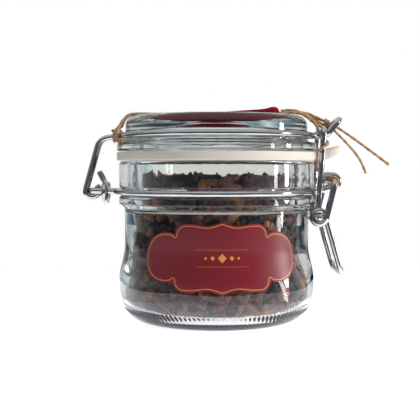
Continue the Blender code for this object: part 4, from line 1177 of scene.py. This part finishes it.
def bottle_glass(name, tint, density):
    """Pressed soda-lime glass: clear and fire-polished, green where the eye looks along a thick stretch.

    Its ripples are about 14 mm across, 70 to the metre. Lamps shine through it in shadow rays.
    """
    material, tree = start_material(name)
    place = add_node(tree, "TexCoord")
    ripple = add_node(tree, "TexNoise", {"Vector": place.outputs["Object"], "Scale": 70.0, "Detail": 1.0})
    waves = add_node(tree, "Bump", {"Height": ripple, "Strength": 0.10, "Distance": 0.0004})
    glass = add_node(tree, "BsdfPrincipled", {
        "Base Color": linear("#f6faf9"), "Roughness": 0.01, "IOR": 1.52, "Transmission Weight": 1.0,
        "Normal": waves,
    })
    clear = add_node(tree, "BsdfTransparent", {"Color": linear("#f3f6f5")})
    path = add_node(tree, "LightPath")
    chosen = add_node(tree, "MixShader", {0: path.outputs["Is Shadow Ray"], 1: glass, 2: clear})
    depth = add_node(tree, "VolumeAbsorption", {"Color": linear(tint), "Density": density})
    add_node(tree, "OutputMaterial", {"Surface": chosen, "Volume": depth})
    return material


def plated_steel():
    """Drawn steel wire with bright zinc plating: mirror-like, with faint draw lines along it.

    The lines run on the length in mm and the angle round the wire: about 5 mm long and 0.15 mm wide.
    """
    material, tree = start_material("plated_steel_wire")
    strand = add_node(tree, "Attribute", attribute_name="strand")
    stretch = add_node(tree, "Mapping", {"Vector": strand.outputs["Vector"], "Scale": (0.12, 5.0, 1.0)})
    lines = add_node(tree, "TexNoise", {"Vector": stretch, "Scale": 1.6, "Detail": 3.0})
    rough = add_node(tree, "MapRange", {"Value": lines, "To Min": 0.06, "To Max": 0.18})
    tone = add_node(tree, "ValToRGB", {"Fac": lines}, [(0.0, "#a8a8a8"), (1.0, "#d4d6d6")])
    bump = add_node(tree, "Bump", {"Height": lines, "Strength": 0.15, "Distance": 0.0001})
    metal = add_node(tree, "BsdfPrincipled", {
        "Base Color": tone, "Metallic": 1.0, "Roughness": rough, "Normal": bump,
    })
    add_node(tree, "OutputMaterial", {"Surface": metal})
    return material


def moulded_rubber():
    """Natural rubber, moulded and unpainted: matt, ivory, and a little light goes into it.

    Its tone clouds over about 17 mm, 60 to the metre. The mould's grain is drawn 0.4 mm wide, about a pixel,
    which is coarser than the real one, so that it shows.
    """
    material, tree = start_material("ivory_rubber")
    place = add_node(tree, "TexCoord")
    cloud = add_node(tree, "TexNoise", {"Vector": place.outputs["Object"], "Scale": 60.0, "Detail": 3.0})
    tone = add_node(tree, "ValToRGB", {"Fac": cloud}, [(0.0, "#c8bdac"), (1.0, "#dfdad0")])
    grain = add_node(tree, "TexNoise", {"Vector": place.outputs["Object"], "Scale": 2500.0, "Detail": 2.0})
    bump = add_node(tree, "Bump", {"Height": grain, "Strength": 0.2, "Distance": 0.0001})
    rubber = add_node(tree, "BsdfPrincipled", {
        "Base Color": tone, "Roughness": 0.5, "Subsurface Weight": 0.35,
        "Subsurface Radius": (0.004, 0.0035, 0.003), "Subsurface Scale": 1.0, "Normal": bump,
    })
    add_node(tree, "OutputMaterial", {"Surface": rubber})
    return material


def printed_paper(name, reds, specular, coat):
    """Label paper printed crimson, with a thin gold line inside its edge and two fine rules.

    The paper on the jar is coated and shines softly. The one on the lid is matt, as its underside is wetted
    to the glass and is seen through it, and its reds are lighter than the jar's: painted light for that
    underside, which is lit less through the glass. Print coordinates are in mm: the ink mottles over about
    0.9 mm, and the fibres under it are 0.2 mm wide.
    """
    material, tree = start_material(name)
    edge = add_node(tree, "Attribute", attribute_name="edge")
    flat = add_node(tree, "Attribute", attribute_name="print")
    along, height, _ = add_node(tree, "SeparateXYZ", {"Vector": flat.outputs["Vector"]}).outputs

    def band(value, middle, half):
        """1 where a value lies within half of middle, with a soft edge."""
        away = add_node(tree, "Math", {0: value, 1: middle}, operation="SUBTRACT")
        size = add_node(tree, "Math", {0: away}, operation="ABSOLUTE")
        return add_node(tree, "MapRange", {
            "Value": size, "From Min": half - 0.05, "From Max": half + 0.05, "To Min": 1.0, "To Max": 0.0,
        })

    gold = band(edge.outputs["Fac"], BORDER_INSET, BORDER_HALF)
    for rule_height in RULE_HEIGHTS:
        rule = add_node(tree, "Math", {
            0: band(height, rule_height, RULE_HALF), 1: band(along, 0.0, RULE_REACH),
        }, operation="MULTIPLY")
        pale = add_node(tree, "Math", {0: rule, 1: RULE_STRENGTH}, operation="MULTIPLY")
        gold = add_node(tree, "Math", {0: gold, 1: pale}, operation="MAXIMUM")
    size_u = add_node(tree, "Math", {0: along}, operation="ABSOLUTE")
    size_v = add_node(tree, "Math", {0: height}, operation="ABSOLUTE")
    for middle, half in DIAMONDS:
        away = add_node(tree, "Math", {0: size_u, 1: middle}, operation="SUBTRACT")
        away = add_node(tree, "Math", {0: away}, operation="ABSOLUTE")
        far = add_node(tree, "Math", {0: away, 1: size_v}, operation="ADD")
        gold = add_node(tree, "Math", {0: gold, 1: band(far, 0.0, half)}, operation="MAXIMUM")
    grain = add_node(tree, "TexNoise", {"Vector": flat.outputs["Vector"], "Scale": 1.1, "Detail": 6.0})
    red = add_node(tree, "ValToRGB", {"Fac": grain}, [(0.0, reds[0]), (1.0, reds[1])])
    colour = add_node(tree, "Mix", {"Factor": gold, "A": red, "B": linear("#c9823f")}, data_type="RGBA")
    fibre = add_node(tree, "TexNoise", {"Vector": flat.outputs["Vector"], "Scale": 5.0, "Detail": 4.0})
    bump = add_node(tree, "Bump", {"Height": fibre, "Strength": 0.08, "Distance": 0.0002})
    sheet = add_node(tree, "BsdfPrincipled", {
        "Base Color": colour.outputs[2], "Roughness": 0.42, "Specular IOR Level": specular,
        "Coat Weight": coat, "Coat Roughness": 0.32, "Normal": bump,
    })
    add_node(tree, "OutputMaterial", {"Surface": sheet})
    return material


def dried_bud():
    """Sun-dried flower buds: dark, oily brown stems with rusty, lighter heads and a wrinkled skin.

    Patches are about 1.4 mm across, 700 to the metre, and wrinkles 0.4 mm, 2600 to the metre.
    """
    material, tree = start_material("dried_clove")
    ripe = add_node(tree, "Attribute", attribute_name="ripe")
    tone = add_node(tree, "Attribute", attribute_name="tone")
    place = add_node(tree, "TexCoord")
    patches = add_node(tree, "TexNoise", {"Vector": place.outputs["Object"], "Scale": 700.0, "Detail": 4.0})
    fine = add_node(tree, "TexNoise", {"Vector": place.outputs["Object"], "Scale": 2600.0, "Detail": 3.0})
    shade = add_node(tree, "Math", {0: patches, 1: 0.62}, operation="MULTIPLY")
    shade = add_node(tree, "Math", {0: tone.outputs["Fac"], 1: 0.45, 2: shade}, operation="MULTIPLY_ADD")
    stem = [(0.0, "#080507"), (0.35, "#160e12"), (0.55, "#34232a"), (0.75, "#6c4739"), (1.0, "#96644b")]
    head = [(0.15, "#1c0f0e"), (0.5, "#6a3c27"), (1.0, "#bf7b50")]
    colour = add_node(tree, "Mix", {
        "Factor": ripe.outputs["Fac"], "A": add_node(tree, "ValToRGB", {"Fac": shade}, stem),
        "B": add_node(tree, "ValToRGB", {"Fac": shade}, head),
    }, data_type="RGBA")
    relief = add_node(tree, "Math", {0: patches, 1: fine}, operation="ADD")
    bump = add_node(tree, "Bump", {"Height": relief, "Strength": 0.6, "Distance": 0.0003})
    bark = add_node(tree, "BsdfPrincipled", {
        "Base Color": colour.outputs[2], "Roughness": 0.55, "Specular IOR Level": 0.28, "Normal": bump,
    })
    add_node(tree, "OutputMaterial", {"Surface": bark})
    return material


def jute_twine():
    """Natural jute, two plies twisted: straw to brown fibres that lie along the strand, quite matt.

    They run on the length in mm and the angle round the strand: about 0.1 mm wide and 0.65 mm long.
    """
    material, tree = start_material("natural_jute")
    strand = add_node(tree, "Attribute", attribute_name="strand")
    stretch = add_node(tree, "Mapping", {"Vector": strand.outputs["Vector"], "Scale": (0.7, 2.4, 1.0)})
    fibres = add_node(tree, "TexNoise", {"Vector": stretch, "Scale": 2.2, "Detail": 5.0, "Roughness": 0.7})
    tone = add_node(tree, "ValToRGB", {"Fac": fibres}, [(0.25, "#5a3c24"), (0.75, "#d9ad7c")])
    bump = add_node(tree, "Bump", {"Height": fibres, "Strength": 0.5, "Distance": 0.0003})
    fibre = add_node(tree, "BsdfPrincipled", {
        "Base Color": tone, "Roughness": 0.85, "Sheen Weight": 0.25, "Normal": bump,
    })
    add_node(tree, "OutputMaterial", {"Surface": fibre})
    return material


def make_floor():
    """Painted white board: a plain table top, small so that the glass doesn't mirror it everywhere.

    Its tone hardly changes, over about 330 mm, 3 to the metre.
    """
    material, tree = start_material("white_table")
    place = add_node(tree, "TexCoord")
    cloud = add_node(tree, "TexNoise", {"Vector": place.outputs["Object"], "Scale": 3.0})
    tone = add_node(tree, "ValToRGB", {"Fac": cloud}, [(0.0, "#fbfbfb"), (1.0, "#ffffff")])
    top = add_node(tree, "BsdfPrincipled", {"Base Color": tone, "Roughness": 0.35})
    glow = add_node(tree, "Emission", {"Color": linear("#f6f2fb"), "Strength": 0.8})
    lit = add_node(tree, "AddShader", {0: top, 1: glow})
    add_node(tree, "OutputMaterial", {"Surface": lit})
    half = TABLE_HALF
    mesh = bpy.data.meshes.new("table_top")
    corners = [(-half, -half, 0), (half, -half, 0), (half, half, 0), (-half, half, 0)]
    mesh.from_pydata(corners, [], [(0, 1, 2, 3)])
    mesh.materials.append(material)
    table = bpy.data.objects.new("table_top", mesh)
    table.location.z = -0.0001
    bpy.context.scene.collection.objects.link(table)


make_camera()
make_twine()
make_world()
make_lamps()
make_jar()
make_lid()
make_gasket()
make_wires()
make_front_label()
make_lid_label()
make_cloves()
make_floor()
